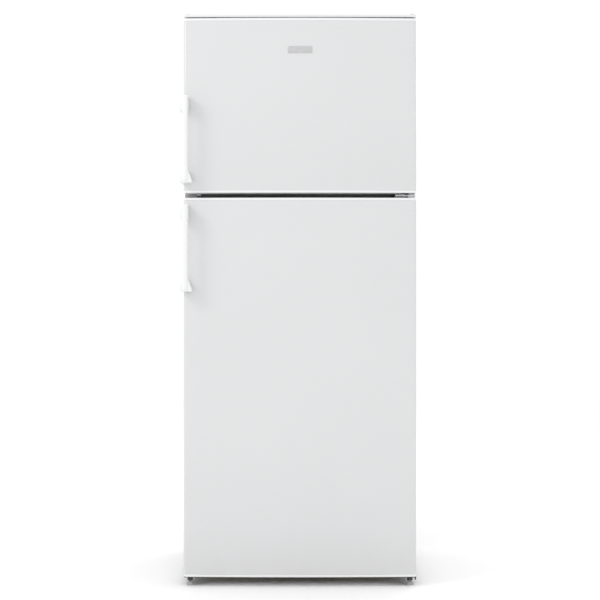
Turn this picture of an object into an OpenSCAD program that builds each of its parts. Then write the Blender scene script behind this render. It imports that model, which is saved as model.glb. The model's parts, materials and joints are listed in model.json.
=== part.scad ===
/* [Cabinet] */
// Width of the cabinet and of both doors
body_w = 700; // [560:1:860]
// Height from the floor to the top cover
body_h = 1720; // [1420:1:2080]
// Depth of the insulated box, front flange to back panel
box_d = 588; // [480:1:720]
// Thickness of each side wall, skins included
side_wall = 50; // [40:1:62]
// Thickness of the top wall, skins included
top_wall = 54; // [44:1:66]
// Thickness of the back wall, skins included
back_wall = 60; // [50:1:72]
// Thickness of the floor insulation
floor_wall = 45; // [36:1:56]
// Thickness of the wall between the compartments
divider_h = 75; // [66:1:92]
// Clear height of the freezer compartment
freezer_h = 440; // [360:1:530]
// Sheet steel thickness
sheet_t = 1; // [0.8:0.1:1.4]
// Inner liner thickness
liner_t = 2; // [1.5:0.1:2.5]
// Clearance of loose fits between separate pieces
gap = 0.5; // [0.3:0.1:0.8]

/* [Base and compressor bay] */
// Floor to the underside of the cabinet
floor_gap = 27; // [24:1:33]
// Height of the base rails
base_h = 25; // [20:1:30]
// Width of a base rail
rail_w = 32; // [28:1:38]
// Depth of the compressor bay
bay_d = 190; // [180:1:220]
// Clear height of the compressor bay above the base rails
bay_h = 238; // [225:1:280]
// Insulation between the bay and the compartment
bay_wall = 50; // [40:1:60]
// Radius of the compressor shell
comp_r = 74; // [62:1:80]
// Height of the compressor shell
comp_h = 150; // [130:1:165]
// Radius of a levelling foot
foot_r = 10.5; // [9:0.5:13]
// Radius of a foot's stem
stem_r = 4; // [3:0.5:5]
// Radius of a rear roller
roller_r = 12; // [10:0.5:13]
// Width of a rear roller
roller_w = 16; // [12:1:18]

/* [Doors] */
// Door thickness at its side edges
door_t = 50; // [42:1:60]
// How far the middle of the door front stands ahead of its edges
door_crown = 8; // [5:1:12]
// Radius of the vertical front edges
edge_r = 8; // [5:1:12]
// Gap between the door backs and the cabinet
seal_gap = 10; // [9:1:12]
// Gap between the two doors
between_gap = 15; // [13:1:18]
// Height of the plastic end caps
cap_h = 7.5; // [6:0.5:10]
// Hinge pin distance from the door's side
hinge_side = 18; // [16:0.5:22]
// Hinge pin distance ahead of the door's back
hinge_back = 25.5; // [22:0.5:30]
// Radius of the hinge pins
pin_r = 4; // [3:0.5:5]
// Depth of each hinge bush
bush_h = 22; // [18:1:28]
// Radial running clearance of pins and shafts
run_fit = 0.05; // [0.02:0.01:0.1]
// Width of the gasket
gasket_w = 22; // [18:1:24]
// Depth of the racks in the doors
rack_d = 100; // [80:1:110]
// Wall of the racks and trays
rack_t = 2.5; // [2:0.1:3.5]

/* [Handles] */
// Length of each handle
handle_len = 260; // [216:1:312]
// How far a handle stands ahead of the door
handle_out = 44; // [38:1:52]
// Width of the handle bar
bar_w = 17; // [14:1:22]
// Thickness of the handle bar
bar_t = 13; // [11:1:16]
// How far the handle ends wrap round the door's side
wrap_out = 9; // [6:1:12]

/* [Rear condenser] */
// Depth of the spacers behind the back panel
rear_d = 25; // [20:1:32]
// Radius of the condenser tube
coil_r = 2.4; // [2:0.1:3]
// Number of straight runs
coil_rows = 20; // [12:2:26]
// Number of vertical wires on each side of the tube
wire_count = 26; // [12:1:40]

/* [Hidden] */
$fn = 48;
over = 1;

// Widths
half_w = body_w / 2;
core_w = half_w - side_wall;
foam_x = half_w - sheet_t;
liner_x = core_w + liner_t;

// Depths, from the handles (front) to the condenser spacers (rear), centred on y = 0
total_d = handle_out + door_crown + door_t + seal_gap + box_d + rear_d;
y_front = -total_d / 2 + handle_out;
y_edge = y_front + door_crown;
y_door = y_edge + door_t;
y_box = y_door + seal_gap;
y_rear = y_box + box_d;
y_core = y_rear - back_wall;
y_bay = y_rear - bay_d;
y_step = y_bay - bay_wall;
crown_r = (half_w * half_w / door_crown + door_crown) / 2;
crown_steps = 16;
edge_steps = 6;

// Heights
cover_t = 7.5;
hinge_t = 3;
cover_h = cover_t + hinge_t + gap;
z_foam = floor_gap + base_h;
z_top = body_h - cover_h;
z_core0 = z_foam + floor_wall;
z_freezer1 = z_top - top_wall;
z_freezer0 = z_freezer1 - freezer_h;
z_core1 = z_freezer0 - divider_h;
split_drop = 2;
z_split = (z_core1 + z_freezer0) / 2 - split_drop;
z_bay = z_foam + bay_h;
z_step = z_bay + bay_wall;
door_lift = 2;
z_low0 = floor_gap + door_lift;
z_low1 = z_split - between_gap / 2;
z_up0 = z_split + between_gap / 2;
lid_gap = 1.5;
z_up1 = z_top - lid_gap;

// Hinges, feet and rollers
hinge_x = half_w - hinge_side;
hinge_y = y_door - hinge_back;
plate_w = 62;
blank_w = 36;
plate_x = half_w - plate_w;
boss_wall = 5;
boss_r = pin_r + boss_wall;
bush_floor = 2;
washer_r = 8;
moving_gap = 0.3;
tongue = 12;
foot_h = 7;
nut_r = 8.5;
nut_h = 9;
screw_r = 2.2;
screw_head_r = 4.2;
screw_head_h = 2;
screw_l = 16;
mid_screw_x = [plate_x + 6, half_w - 12];
mid_screw_z = z_split + hinge_t / 2 + screw_head_r + gap;
top_screw_x = [plate_x + 12, hinge_x - 10];
low_screw_x = [hinge_x - 32, hinge_x - 18];
roller_back = 45;
roller_y = y_rear - roller_back;
roller_x = foam_x - rail_w / 2;
ear_t = 2;
axle_r = 3;

// Compartment fittings
glass_t = 4;
ledge_w = 9;
ledge_h = 8;
trim_h = 14;
trim_d = 12;
shelf_clear = 32;
shelf_front = y_door + rack_d + shelf_clear;
crisper_t = 3;
crisper_drop = 32;
crisper_top = z_step - crisper_drop;
shelf_count = 3;
shelf_headroom = 40;
shelf_pitch = (z_core1 - crisper_top - shelf_headroom) / (shelf_count + 1);
crisper_travel = 200;
shelf_z = [for (i = [1 : shelf_count]) crisper_top + i * shelf_pitch];
evap_d = 70;
evap_y = y_core - evap_d;
evap_cover_t = 2.5;
fan_r = 48;
fan_drop = 16;
fan_z = z_freezer1 - fan_r - fan_drop;
fin_count = 24;
fin_t = 1;
evap_h = 190;
evap_tube_r = 4;
shaft_r = 2.5;
comp_x = 110;
drain_x = comp_x;
drain_r = 7;
drain_y = y_rear - back_wall / 2;
housing_h = 48;
housing_x = 110;
housing_clear = 22;
housing_y0 = y_door + rack_d + housing_clear;
housing_d = 160;
wall_t = 2.5;
knob_r = 17;
knob_z = z_core1 - housing_h / 2;
duct_w = 150;
duct_d = 24;
switch_drop = 30;
switch_z = z_core1 - switch_drop;

// Door inner parts
core_lap = 3;
gasket_x = core_w + core_lap;
dyke_inset = 13;
dyke_x = core_w - dyke_inset;
dyke_w = 25;
dyke_d = 45;
dyke_end = 12;
rack_x = dyke_x - dyke_w - gap;
flap_r = 84;
flap_t = 2.5;
flap_hub = 8;
flap_z = z_core1 - flap_r - flap_hub;
flap_y = y_door + flap_hub + 4;
flap_tilt = 75;

// A box between two corners
module block(x0, x1, y0, y1, z0, z1) {
  translate([x0, y0, z0]) cube([x1 - x0, y1 - y0, z1 - z0]);
}

corner_swell = 0.4;

// Round bars along each axis
module bar_z(x, y, z0, z1, r) {
  translate([x, y, z0]) cylinder(r = r, h = z1 - z0);
}

module bar_y(x, y0, y1, z, r) {
  translate([x, y0, z]) rotate([-90, 0, 0]) cylinder(r = r, h = y1 - y0);
}

module bar_x(x0, x1, y, z, r) {
  translate([x0, y, z]) rotate([0, 90, 0]) cylinder(r = r, h = x1 - x0);
}

// A box with an open top
module tray(x0, x1, y0, y1, z0, z1, t) {
  difference() {
    block(x0, x1, y0, y1, z0, z1);
    block(x0 + t, x1 - t, y0 + t, y1 - t, z0 + t, z1 + over);
  }
}

// A round tube through a list of points, with slightly swollen ball corners
module pipe(points, r) {
  for (i = [0 : len(points) - 2]) {
    step = points[i + 1] - points[i];
    run = norm(step);
    translate(points[i]) rotate([0, acos(step[2] / run), atan2(step[1], step[0])]) cylinder(r = r, h = run);
  }
  for (i = [1 : len(points) - 2]) translate(points[i]) sphere(r = r + corner_swell);
}

// ---- Cabinet ----

// The bay and the two compartments, grown by a wall
module compartments(grow) {
  block(-core_w - grow, core_w + grow, y_box - over, y_core + grow, z_freezer0 - grow, z_freezer1 + grow);
  difference() {
    block(-core_w - grow, core_w + grow, y_box - over, y_core + grow, z_core0 - grow, z_core1 + grow);
    block(-half_w, half_w, y_step + grow, y_rear, 0, z_step - grow);
  }
}

// Screw holes of the middle hinge (into the front) and of the top hinge (into the top)
module hinge_bores(r) {
  for (x = mid_screw_x) bar_y(x, y_box - hinge_t - over, y_box + screw_l, mid_screw_z, r);
  for (x = top_screw_x) bar_z(x, y_box + rail_w, z_top - screw_l, z_top + hinge_t + over, r);
}

module outer_wrapper() {
  color("whitesmoke") difference() {
    union() {
      for (s = [0, 1]) mirror([s, 0, 0]) block(foam_x, half_w, y_box, y_rear, floor_gap, z_top);
      block(-half_w, half_w, y_box, y_rear, z_top - sheet_t, z_top);
      difference() {
        block(-foam_x, foam_x, y_box, y_box + sheet_t, floor_gap, z_top - sheet_t);
        compartments(liner_t);
        block(-liner_x, liner_x, y_box - over, y_box + sheet_t + over, z_core1, z_freezer0);
      }
    }
    hinge_bores(screw_r);
  }
}

// One folded sheet: the flat back, and the lining of the compressor bay
module back_panel() {
  color("lightgray") difference() {
    union() {
      block(-foam_x, foam_x, y_rear - sheet_t, y_rear, z_foam, z_top - sheet_t);
      block(-core_w, core_w, y_bay, y_rear, z_foam, z_bay);
    }
    block(-core_w + sheet_t, core_w - sheet_t, y_bay + sheet_t, y_rear + over,
          z_foam - over, z_bay - sheet_t);
    bar_z(drain_x, drain_y, z_bay - 2 * sheet_t, z_bay + over, drain_r);
  }
}

// The plate under each front corner, with the threaded nut that takes a levelling foot
module foot_bracket() {
  difference() {
    union() {
      block(plate_x, half_w, hinge_y - boss_r, y_box + rail_w + 4, floor_gap - hinge_t, floor_gap);
      bar_z(hinge_x, hinge_y, floor_gap - hinge_t - nut_h, floor_gap - hinge_t, nut_r);
    }
    bar_z(hinge_x, hinge_y, 0, floor_gap - hinge_t, stem_r + run_fit);
    for (x = low_screw_x) bar_z(x, y_box + rail_w / 2, 0, floor_gap + over, screw_r);
  }
}

module base_frame() {
  color("dimgray") difference() {
    union() {
      for (s = [0, 1]) mirror([s, 0, 0]) {
        block(foam_x - rail_w, foam_x, y_box + sheet_t, y_rear, floor_gap, z_foam);
        for (x = [-1, 1]) translate([roller_x + x * (roller_w / 2 + ear_t + gap) - ear_t / 2, 0, 0])
          block(0, ear_t, roller_y - 2 * axle_r, roller_y + 2 * axle_r, roller_r - 2 * axle_r, floor_gap);
      }
      block(-foam_x, foam_x, y_box + sheet_t, y_box + sheet_t + rail_w, floor_gap, z_foam);
      block(-foam_x, foam_x, y_bay, y_rear, floor_gap, floor_gap + hinge_t);
    }
    bar_x(-half_w, half_w, roller_y, roller_r, axle_r + run_fit);
    for (x = low_screw_x) bar_z(x, y_box + rail_w / 2, floor_gap - over, floor_gap + screw_l, screw_r);
    for (y = [0, 30]) bar_z(-hinge_x, y_box + 2 * rail_w + y, floor_gap - over, floor_gap + screw_l, screw_r);
  }
  color("dimgray") mirror([1, 0, 0]) foot_bracket();
}

// Route of the drain: down from the evaporator, back over the fridge compartment, down to the bay
drain_points = [
  [drain_x, evap_y + evap_d / 2, z_freezer0 - liner_t],
  [drain_x, evap_y + evap_d / 2, z_freezer0 - 26],
  [drain_x, drain_y, z_core1 + 14],
  [drain_x, drain_y, z_bay]
];

module cabinet_foam() {
  color("khaki") difference() {
    block(-foam_x, foam_x, y_box + sheet_t, y_rear - sheet_t, z_foam, z_top - sheet_t);
    compartments(liner_t);
    block(-core_w, core_w, y_bay, y_rear, 0, z_bay);
    block(-liner_x, liner_x, y_box, y_box + tongue, z_core1, z_freezer0);
    hinge_bores(screw_r);
    pipe(drain_points, drain_r);
  }
}

module freezer_liner() {
  color("white") difference() {
    block(-liner_x, liner_x, y_box, y_core + liner_t, z_freezer0 - liner_t, z_freezer1 + liner_t);
    block(-core_w, core_w, y_box - over, y_core, z_freezer0, z_freezer1);
    block(-liner_x - over, liner_x + over, y_box - over, y_box + tongue, z_core1, z_freezer0);
    bar_z(drain_x, evap_y + evap_d / 2, z_freezer0 - 2 * liner_t, z_freezer0 + over, drain_r);
  }
}

module ledge(z) {
  for (s = [0, 1]) mirror([s, 0, 0])
    block(core_w - ledge_w, core_w, shelf_front, y_core, z - ledge_h, z);
}

module fridge_liner() {
  color("white") {
    difference() {
      intersection() {
        compartments(liner_t);
        block(-half_w, half_w, y_box, y_rear, 0, z_core1 + liner_t);
      }
      difference() {
        compartments(0);
        block(-half_w, half_w, y_step, y_rear, 0, z_step);
        for (z = shelf_z) ledge(z);
      }
      block(-half_w, half_w, y_box - over, y_box + tongue, z_core1, z_core1 + 2 * liner_t);
    }
  }
}

module cross_rail() {
  color("dimgray") difference() {
    block(-liner_x, liner_x, y_box, y_box + tongue, z_core1, z_freezer0);
    hinge_bores(screw_r);
  }
}

module blanking_plate() {
  color("gainsboro") block(-half_w, -half_w + blank_w, y_box - hinge_t, y_box, z_up0 - between_gap, z_up0);
}

module top_cover() {
  color("white") difference() {
    union() {
      block(-half_w, half_w, y_edge + 4, y_rear, body_h - cover_t, body_h);
      block(-half_w, half_w, y_box + 2, y_rear, z_top, body_h - cover_t);
    }
    block(-half_w + rack_t, half_w - rack_t, y_box, y_rear - rack_t, z_top - over, body_h - cover_t);
  }
}

module top_hinge() {
  color("silver") difference() {
    union() {
      block(plate_x, half_w - 6, hinge_y - boss_r, y_box + 2 * rail_w, z_top, z_top + hinge_t);
      bar_z(hinge_x, hinge_y, z_up1 - bush_h + bush_floor, z_top + hinge_t, pin_r);
    }
    hinge_bores(screw_r);
  }
}

module top_hinge_cover() {
  color("white") {
    block(half_w - 15, half_w - 2, hinge_y, y_box + 2 * rail_w, body_h, body_h + 6);
    bar_z(half_w - 8.5, hinge_y, body_h, body_h + 6, 6.5);
  }
}

module middle_hinge() {
  color("silver") difference() {
    union() {
      block(plate_x, half_w - 1, y_box - hinge_t, y_box, z_split - 9, z_split + 9);
      block(plate_x, half_w - 1, hinge_y, y_box, z_split - hinge_t / 2, z_split + hinge_t / 2);
      block(plate_x, half_w - 1, hinge_y - boss_r, hinge_y, z_split - hinge_t / 2, z_split + hinge_t / 2);
      bar_z(hinge_x, hinge_y, z_low1 - bush_h + bush_floor, z_up0 + bush_h - bush_floor, pin_r);
      bar_z(hinge_x, hinge_y, z_low1 + moving_gap, z_up0 - moving_gap, washer_r);
    }
    hinge_bores(screw_r);
  }
}

module bottom_hinge() {
  color("dimgray") {
    foot_bracket();
    block(half_w - hinge_t, half_w, hinge_y - boss_r, y_box, floor_gap - 10, floor_gap - hinge_t);
    bar_z(hinge_x, hinge_y, floor_gap, z_low0 + bush_h - bush_floor, pin_r);
    bar_z(hinge_x, hinge_y, floor_gap, z_low0 - moving_gap, washer_r);
  }
}

module screw() {
  cylinder(r = screw_r, h = screw_l);
  translate([0, 0, -screw_head_h]) cylinder(r = screw_head_r, h = screw_head_h);
}

module hinge_screws() {
  color("gray") {
    for (x = mid_screw_x) translate([x, y_box - hinge_t, mid_screw_z]) rotate([-90, 0, 0]) screw();
    for (x = top_screw_x) bar_z(x, y_box + rail_w, z_top - screw_l + hinge_t, z_top + hinge_t, screw_r);
    for (x = low_screw_x) translate([x, y_box + rail_w / 2, floor_gap - hinge_t]) screw();
  }
}

// ---- Feet and rollers ----

module front_foot(s) {
  bar_z(s * hinge_x, hinge_y, 0, foot_h, foot_r);
  translate([s * hinge_x, hinge_y, foot_h]) cylinder(r1 = foot_r, r2 = stem_r + 1, h = 5);
  bar_z(s * hinge_x, hinge_y, foot_h, floor_gap - hinge_t - moving_gap, stem_r);
}

module front_foot_left() {
  color("gray") front_foot(-1);
}

module front_foot_right() {
  color("gray") front_foot(1);
}

module rear_roller(s) {
  x = s * roller_x;
  reach = roller_w / 2 + 2 * ear_t + gap;
  bar_x(x - roller_w / 2, x + roller_w / 2, roller_y, roller_r, roller_r);
  bar_x(x - reach, x + reach, roller_y, roller_r, axle_r);
}

module rear_roller_left() {
  color("gray") rear_roller(-1);
}

module rear_roller_right() {
  color("gray") rear_roller(1);
}

// ---- Cold circuit ----

coil_y = y_rear + rear_d * 0.55;
coil_x = half_w - 70;
bend_swell = 0.2;
coil_top = z_freezer1 - 100;
coil_pitch = (coil_top - z_bay - 60) / (coil_rows - 1);
coil_low = z_bay + 60;
function coil_z(i) = coil_top - i * coil_pitch;

module condenser_coil() {
  color("dimgray") {
    for (i = [0 : coil_rows - 1]) bar_x(-coil_x, coil_x, coil_y, coil_z(i), coil_r);
    for (i = [0 : coil_rows - 2])
      translate([(i % 2 == 0 ? 1 : -1) * coil_x, coil_y, (coil_z(i) + coil_z(i + 1)) / 2])
        rotate([90, 0, 0]) rotate([0, 0, i % 2 == 0 ? -90 : 90])
          rotate_extrude(angle = 180) translate([coil_pitch / 2, 0]) circle(r = coil_r + bend_swell);
  }
}

wire_t = 1.6;
wire_z0 = coil_low - 20;
wire_z1 = coil_top + 20;

wire_x = coil_x - 6;
wire_step = (2 * wire_x - wire_t) / (wire_count - 1);
bracket_w = 8;

module condenser_wires() {
  color("dimgray") for (y = [coil_y - coil_r - gap - wire_t, coil_y + coil_r + gap]) {
    for (i = [0 : wire_count - 1]) translate([i * wire_step - wire_x, 0, 0])
      block(0, wire_t, y, y + wire_t, wire_z0, wire_z1);
    for (z = [wire_z0, wire_z1 - 3 * wire_t]) block(-wire_x, wire_x, y, y + wire_t, z, z + 3 * wire_t);
  }
}

// Spacers that clip the tube between two wires
module condenser_brackets() {
  bracket_x = wire_x - 1.5 * wire_step - wire_t / 2;
  color("black") for (x = [-bracket_x, bracket_x]) for (z = [coil_z(1), coil_z(coil_rows - 2)])
    difference() {
      block(x - bracket_w / 2, x + bracket_w / 2, y_rear, y_rear + rear_d, z - 14, z + 14);
      bar_x(x - bracket_w, x + bracket_w, coil_y, z, coil_r + run_fit);
    }
}

comp_y = (y_bay + y_rear) / 2;
mount_h = 12;
comp_z = floor_gap + hinge_t + mount_h;
pan_z = comp_z + hinge_t + comp_h;
pan_h = 40;

module compressor() {
  color("black") {
    translate([comp_x, comp_y, comp_z + hinge_t]) rotate_extrude() union() {
      square([comp_r, comp_h - comp_r / 2]);
      translate([0, comp_h - comp_r / 2]) square([comp_r / 2, comp_r / 2]);
      translate([comp_r / 2, comp_h - comp_r / 2]) intersection() {
        circle(r = comp_r / 2);
        square(comp_r);
      }
    }
    difference() {
      block(comp_x - comp_r - 18, comp_x + comp_r + 18, comp_y - comp_r * 0.8, comp_y + comp_r * 0.8,
        comp_z, comp_z + hinge_t);
      mount_places() cylinder(r = 5, h = 20, center = true);
    }
  }
}

module mount_places() {
  for (x = [-1, 1]) for (y = [-1, 1])
    translate([comp_x + x * (comp_r + 8), comp_y + y * (comp_r * 0.8 - 10), comp_z]) children();
}

module compressor_mounts() {
  color("black") mount_places() {
    translate([0, 0, -mount_h]) cylinder(r = 9, h = mount_h);
    cylinder(r = 5, h = 8);
  }
}

module compressor_relay() {
  color("black") difference() {
    block(comp_x + comp_r - 10, comp_x + comp_r + 36, comp_y - 30, comp_y + 30, comp_z + 30, comp_z + 90);
    bar_z(comp_x, comp_y, comp_z, comp_z + 100, comp_r);
  }
}

pipe_r = 3;
drier_x = -240;
drier_y = y_rear - 50;
drier_top = floor_gap + 150;

module filter_drier() {
  color("peru") {
    bar_z(drier_x, drier_y, floor_gap + 50, floor_gap + 140, 9);
    bar_z(drier_x, drier_y, floor_gap + hinge_t, drier_top, pipe_r);
  }
}

// The hot pipe climbs from the compressor to the top of the coil, and the coil drains to the drier
module refrigerant_pipes() {
  stub_x = comp_x - comp_r - 14;
  stub_z = comp_z + comp_h / 2;
  riser_x = -coil_x - coil_pitch / 2 - 15;
  riser_y = y_rear + pipe_r + 1;
  run_z = z_bay - 24;
  out_x = -coil_x - 16;
  color("peru") {
    pipe([[comp_x - comp_r, comp_y, stub_z], [stub_x, comp_y, stub_z], [stub_x, comp_y, run_z],
      [stub_x, riser_y, run_z], [riser_x, riser_y, run_z], [riser_x, riser_y, coil_top],
      [-coil_x - gap, coil_y, coil_top]], pipe_r);
    pipe([[-coil_x - gap, coil_y, coil_low], [out_x, coil_y, coil_low], [out_x, coil_y, run_z - 36],
      [drier_x, drier_y, run_z - 36], [drier_x, drier_y, drier_top]], pipe_r);
  }
}

module drain_pan() {
  color("white") {
    tray(comp_x - comp_r - 2, comp_x + comp_r + 2, y_bay + 20, y_rear - 10, pan_z, pan_z + pan_h, rack_t);
  }
}

module drain_tube() {
  color("white") difference() {
    union() {
      pipe(drain_points, drain_r);
      bar_z(drain_x, drain_y, pan_z + pan_h - 10, z_bay, drain_r);
    }
    bar_z(drain_x, drain_y, pan_z, z_bay + 20, drain_r - 2);
  }
}

inlet_x = 256;

module mains_inlet() {
  color("black") difference() {
    union() {
      bar_y(inlet_x, y_rear - 14, y_rear, floor_gap + 45, 11);
      block(inlet_x - 12, inlet_x + 12, y_rear - 14, y_rear - 8, floor_gap + hinge_t, floor_gap + 60);
    }
    bar_y(inlet_x, y_rear - 20, y_rear + 1, floor_gap + 45, 4.5);
  }
}

module evaporator() {
  evap_z = z_freezer0 + 40;
  fin_x = core_w - 50;
  fin_step = 2 * fin_x / (fin_count - 1);
  tubes = [for (i = [0 : 3]) for (j = [0, 1]) [14 + 28 * j, 24 + i * (evap_h - 48) / 3]];
  color("silver") {
    for (i = [0 : fin_count - 1]) translate([i * fin_step - fin_x - fin_t / 2, evap_y + 8, evap_z])
      rotate([90, 0, 90]) linear_extrude(fin_t) difference() {
        square([evap_d - 16, evap_h]);
        for (t = tubes) translate(t) circle(r = evap_tube_r + run_fit);
      }
    for (t = tubes) bar_x(-fin_x - 15, fin_x + 15, evap_y + 8 + t[0], evap_z + t[1], evap_tube_r);
    bar_x(-fin_x, fin_x, evap_y + evap_d / 2, evap_z - 16, evap_tube_r);
  }
}

louvre_x = 40;
louvre_h = 6;
return_w = 28;
return_h = 10;
return_step = 36;
return_z = 14;

module evaporator_cover() {
  color("white") difference() {
    block(-core_w + gap, core_w - gap, evap_y - evap_cover_t, evap_y, z_freezer0 + gap, z_freezer1 - gap);
    for (i = [-2 : 2]) translate([0, 0, fan_z + i * 2 * louvre_h])
      block(-louvre_x, louvre_x, evap_y - 2 * evap_cover_t, evap_y + over, -louvre_h / 2, louvre_h / 2);
    for (i = [-slot_reach : slot_reach]) translate([i * return_step, 0, z_freezer0 + return_z])
      block(-return_w / 2, return_w / 2, evap_y - 2 * evap_cover_t, evap_y + over, 0, return_h);
  }
}

module fan_motor() {
  color("black") {
    bar_y(0, evap_y + 32, evap_y + 56, fan_z, 22);
    bar_y(0, evap_y + 8, evap_y + 32, fan_z, shaft_r);
    for (s = [-1, 1]) block(s * 36 - 26, s * 36 + 26, evap_y + 56, y_core, fan_z - 6, fan_z + 6);
  }
}

module evaporator_fan() {
  color("white") difference() {
    union() {
      bar_y(0, evap_y + 10, evap_y + 28, fan_z, 14);
      for (a = [0 : 72 : 288]) translate([0, evap_y + 19, fan_z]) rotate([0, a, 0])
        translate([(10 + fan_r) / 2, 0, 0]) rotate([35, 0, 0]) cube([fan_r - 12, 2, 26], center = true);
    }
    bar_y(0, evap_y, evap_y + 40, fan_z, shaft_r + run_fit);
  }
}

module air_duct() {
  duct_z0 = z_step + 40;
  duct_z1 = z_core1 - gap;
  color("white") difference() {
    block(-duct_w / 2, duct_w / 2, y_core - duct_d, y_core, duct_z0, duct_z1);
    block(-duct_w / 2 + wall_t, duct_w / 2 - wall_t, y_core - duct_d + wall_t, y_core - wall_t,
      duct_z0 + wall_t, duct_z1 + over);
    for (z = [duct_z0 + 60 : 90 : duct_z1 - 60])
      block(-duct_w / 4, duct_w / 4, y_core - duct_d - over, y_core - duct_d + wall_t + over, z, z + 14);
  }
}

// ---- Compartment fittings ----

module control_housing() {
  color("white") difference() {
    block(-housing_x, housing_x, housing_y0, housing_y0 + housing_d, z_core1 - housing_h, z_core1);
    block(-housing_x + wall_t, housing_x - wall_t, housing_y0 + wall_t, housing_y0 + housing_d - wall_t,
      z_core1 - housing_h - over, z_core1 - wall_t);
    bar_y(0, housing_y0 - over, housing_y0 + wall_t + over, knob_z, axle_r + run_fit);
  }
}

module thermostat_knob() {
  color("whitesmoke") {
    bar_y(0, housing_y0 - 12, housing_y0 - moving_gap, knob_z, knob_r);
    bar_y(0, housing_y0 - moving_gap, housing_y0 + 8, knob_z, axle_r);
    block(-2, 2, housing_y0 - 16, housing_y0 - 12, knob_z - knob_r + 2, knob_z + knob_r - 2);
  }
}

module lamp() {
  color("lightyellow") {
    block(-housing_x + wall_t, housing_x - wall_t, housing_y0 + wall_t, housing_y0 + housing_d - wall_t,
      z_core1 - housing_h, z_core1 - housing_h + 2);
    bar_y(0, housing_y0 + 60, housing_y0 + housing_d - wall_t, z_core1 - housing_h / 2, 11);
  }
}

switch_y = y_door + dyke_d + moving_gap;
switch_x = dyke_x - dyke_w / 2;

module switch_housing() {
  color("white") difference() {
    block(switch_x - 9, core_w, switch_y + 14, switch_y + 40, switch_z - 9, switch_z + 9);
    bar_y(switch_x, switch_y, switch_y + 36, switch_z, axle_r + run_fit);
  }
}

module door_switch() {
  color("whitesmoke") bar_y(switch_x, switch_y, switch_y + 28, switch_z, axle_r);
}

slot_w = 26;
slot_step = 40;
slot_reach = 6;
side_lug = 4;

module freezer_shelf() {
  z = z_freezer0 + freezer_h * 0.45;
  t = 5;
  y0 = y_door + rack_d + shelf_clear - trim_d;
  y1 = evap_y - evap_cover_t - 4;
  slot_y1 = evap_y - 40;
  color("white") {
    difference() {
      block(-core_w + side_lug, core_w - side_lug, y0, y1, z, z + t);
      for (i = [-slot_reach : slot_reach])
        block(i * slot_step - slot_w / 2, i * slot_step + slot_w / 2,
              y0 + 30, slot_y1, z - over, z + t + over);
    }
    block(-core_w + side_lug, core_w - side_lug, y0 - 8, y0, z - t, z + trim_d);
    for (s = [0, 1]) mirror([s, 0, 0]) block(core_w - side_lug, core_w, y0 + 20, slot_y1, z, z + t);
  }
}

module glass_plate(z, y1) {
  block(-core_w + 2, core_w - 2, shelf_front, y1, z, z + glass_t);
}

module fridge_shelves() {
  color("lightblue") for (z = shelf_z) glass_plate(z, y_core - duct_d - 4);
}

module front_trim(z) {
  difference() {
    block(-core_w + 2, core_w - 2, shelf_front - trim_d, shelf_front + 6, z - 5, z + trim_h - 5);
    block(-core_w, core_w, shelf_front, shelf_front + 7, z, z + glass_t);
    for (s = [0, 1]) mirror([s, 0, 0])
      block(core_w - ledge_w, core_w, shelf_front, shelf_front + 7, z - 6, z);
  }
}

module shelf_trims() {
  color("white") {
    for (z = shelf_z) front_trim(z);
    front_trim(crisper_top);
  }
}

module crisper_cover() {
  color("lightblue") glass_plate(crisper_top, y_step - 2);
  color("lightblue") for (s = [0, 1]) mirror([s, 0, 0])
    block(core_w - ledge_w, core_w, shelf_front, y_step - 2, crisper_top - ledge_h, crisper_top);
}

face_t = 5;
grip_x = 60;
grip_h = 30;

module crisper_drawer() {
  x1 = core_w - ledge_w - 2;
  z0 = z_core0 + 2;
  z1 = crisper_top - ledge_h - 3;
  color("aliceblue") {
    tray(-x1, x1, shelf_front, y_step - 6, z0, z1, crisper_t);
    difference() {
      block(-x1, x1, shelf_front - face_t, shelf_front, z0, z1);
      block(-grip_x, grip_x, shelf_front - face_t - over, shelf_front - face_t / 2,
            z1 - grip_h, z1 - grip_h / 2);
    }
  }
}

// ---- Doors ----

// One half of a door's plan, drawn inset by a wall: a shallow arc in front, then a rounded vertical edge
function door_half(inset) =
  let(x = half_w - edge_r, crown_in = crown_r - inset, tip = asin(x / (crown_r - edge_r)),
    y = y_front + crown_r - (crown_r - edge_r) * cos(tip), r = edge_r - inset)
  concat(
    [for (i = [1 : crown_steps]) let(a = tip * i / crown_steps)
      [crown_in * sin(a), y_front + crown_r - crown_in * cos(a)]],
    [for (i = [1 : edge_steps]) let(a = tip + (90 - tip) * i / edge_steps) [x + r * sin(a), y - r * cos(a)]],
    [[half_w - inset, y_door]]);

module door_plan(inset) {
  half = door_half(inset);
  polygon(concat([[0, y_front + inset]], half, [for (i = [len(half) - 1 : -1 : 0]) [-half[i].x, half[i].y]]));
}

module door_slab(inset, z0, z1) {
  translate([0, 0, z0]) linear_extrude(z1 - z0) door_plan(inset);
}

module bushes(z0, z1, r) {
  bar_z(hinge_x, hinge_y, z0 - over, z0 + bush_h, r);
  bar_z(hinge_x, hinge_y, z1 - bush_h, z1 + over, r);
}

module door_skin(z0, z1) {
  color("white") difference() {
    door_slab(0, z0 + cap_h, z1 - cap_h);
    door_slab(sheet_t, z0, z1);
  }
}

module door_foam(z0, z1, core0, core1) {
  color("khaki") difference() {
    union() {
      intersection() {
        door_slab(sheet_t, z0 + cap_h, z1 - cap_h);
        block(-half_w, half_w, y_front - over, y_door - liner_t, z0, z1);
      }
      for (s = [0, 1]) mirror([s, 0, 0])
        block(dyke_x - dyke_w + liner_t, dyke_x - liner_t, y_door - liner_t, y_door + dyke_d - liner_t,
          core0 + liner_t, core1 - liner_t);
    }
    bushes(z0, z1, boss_r);
  }
}

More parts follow.
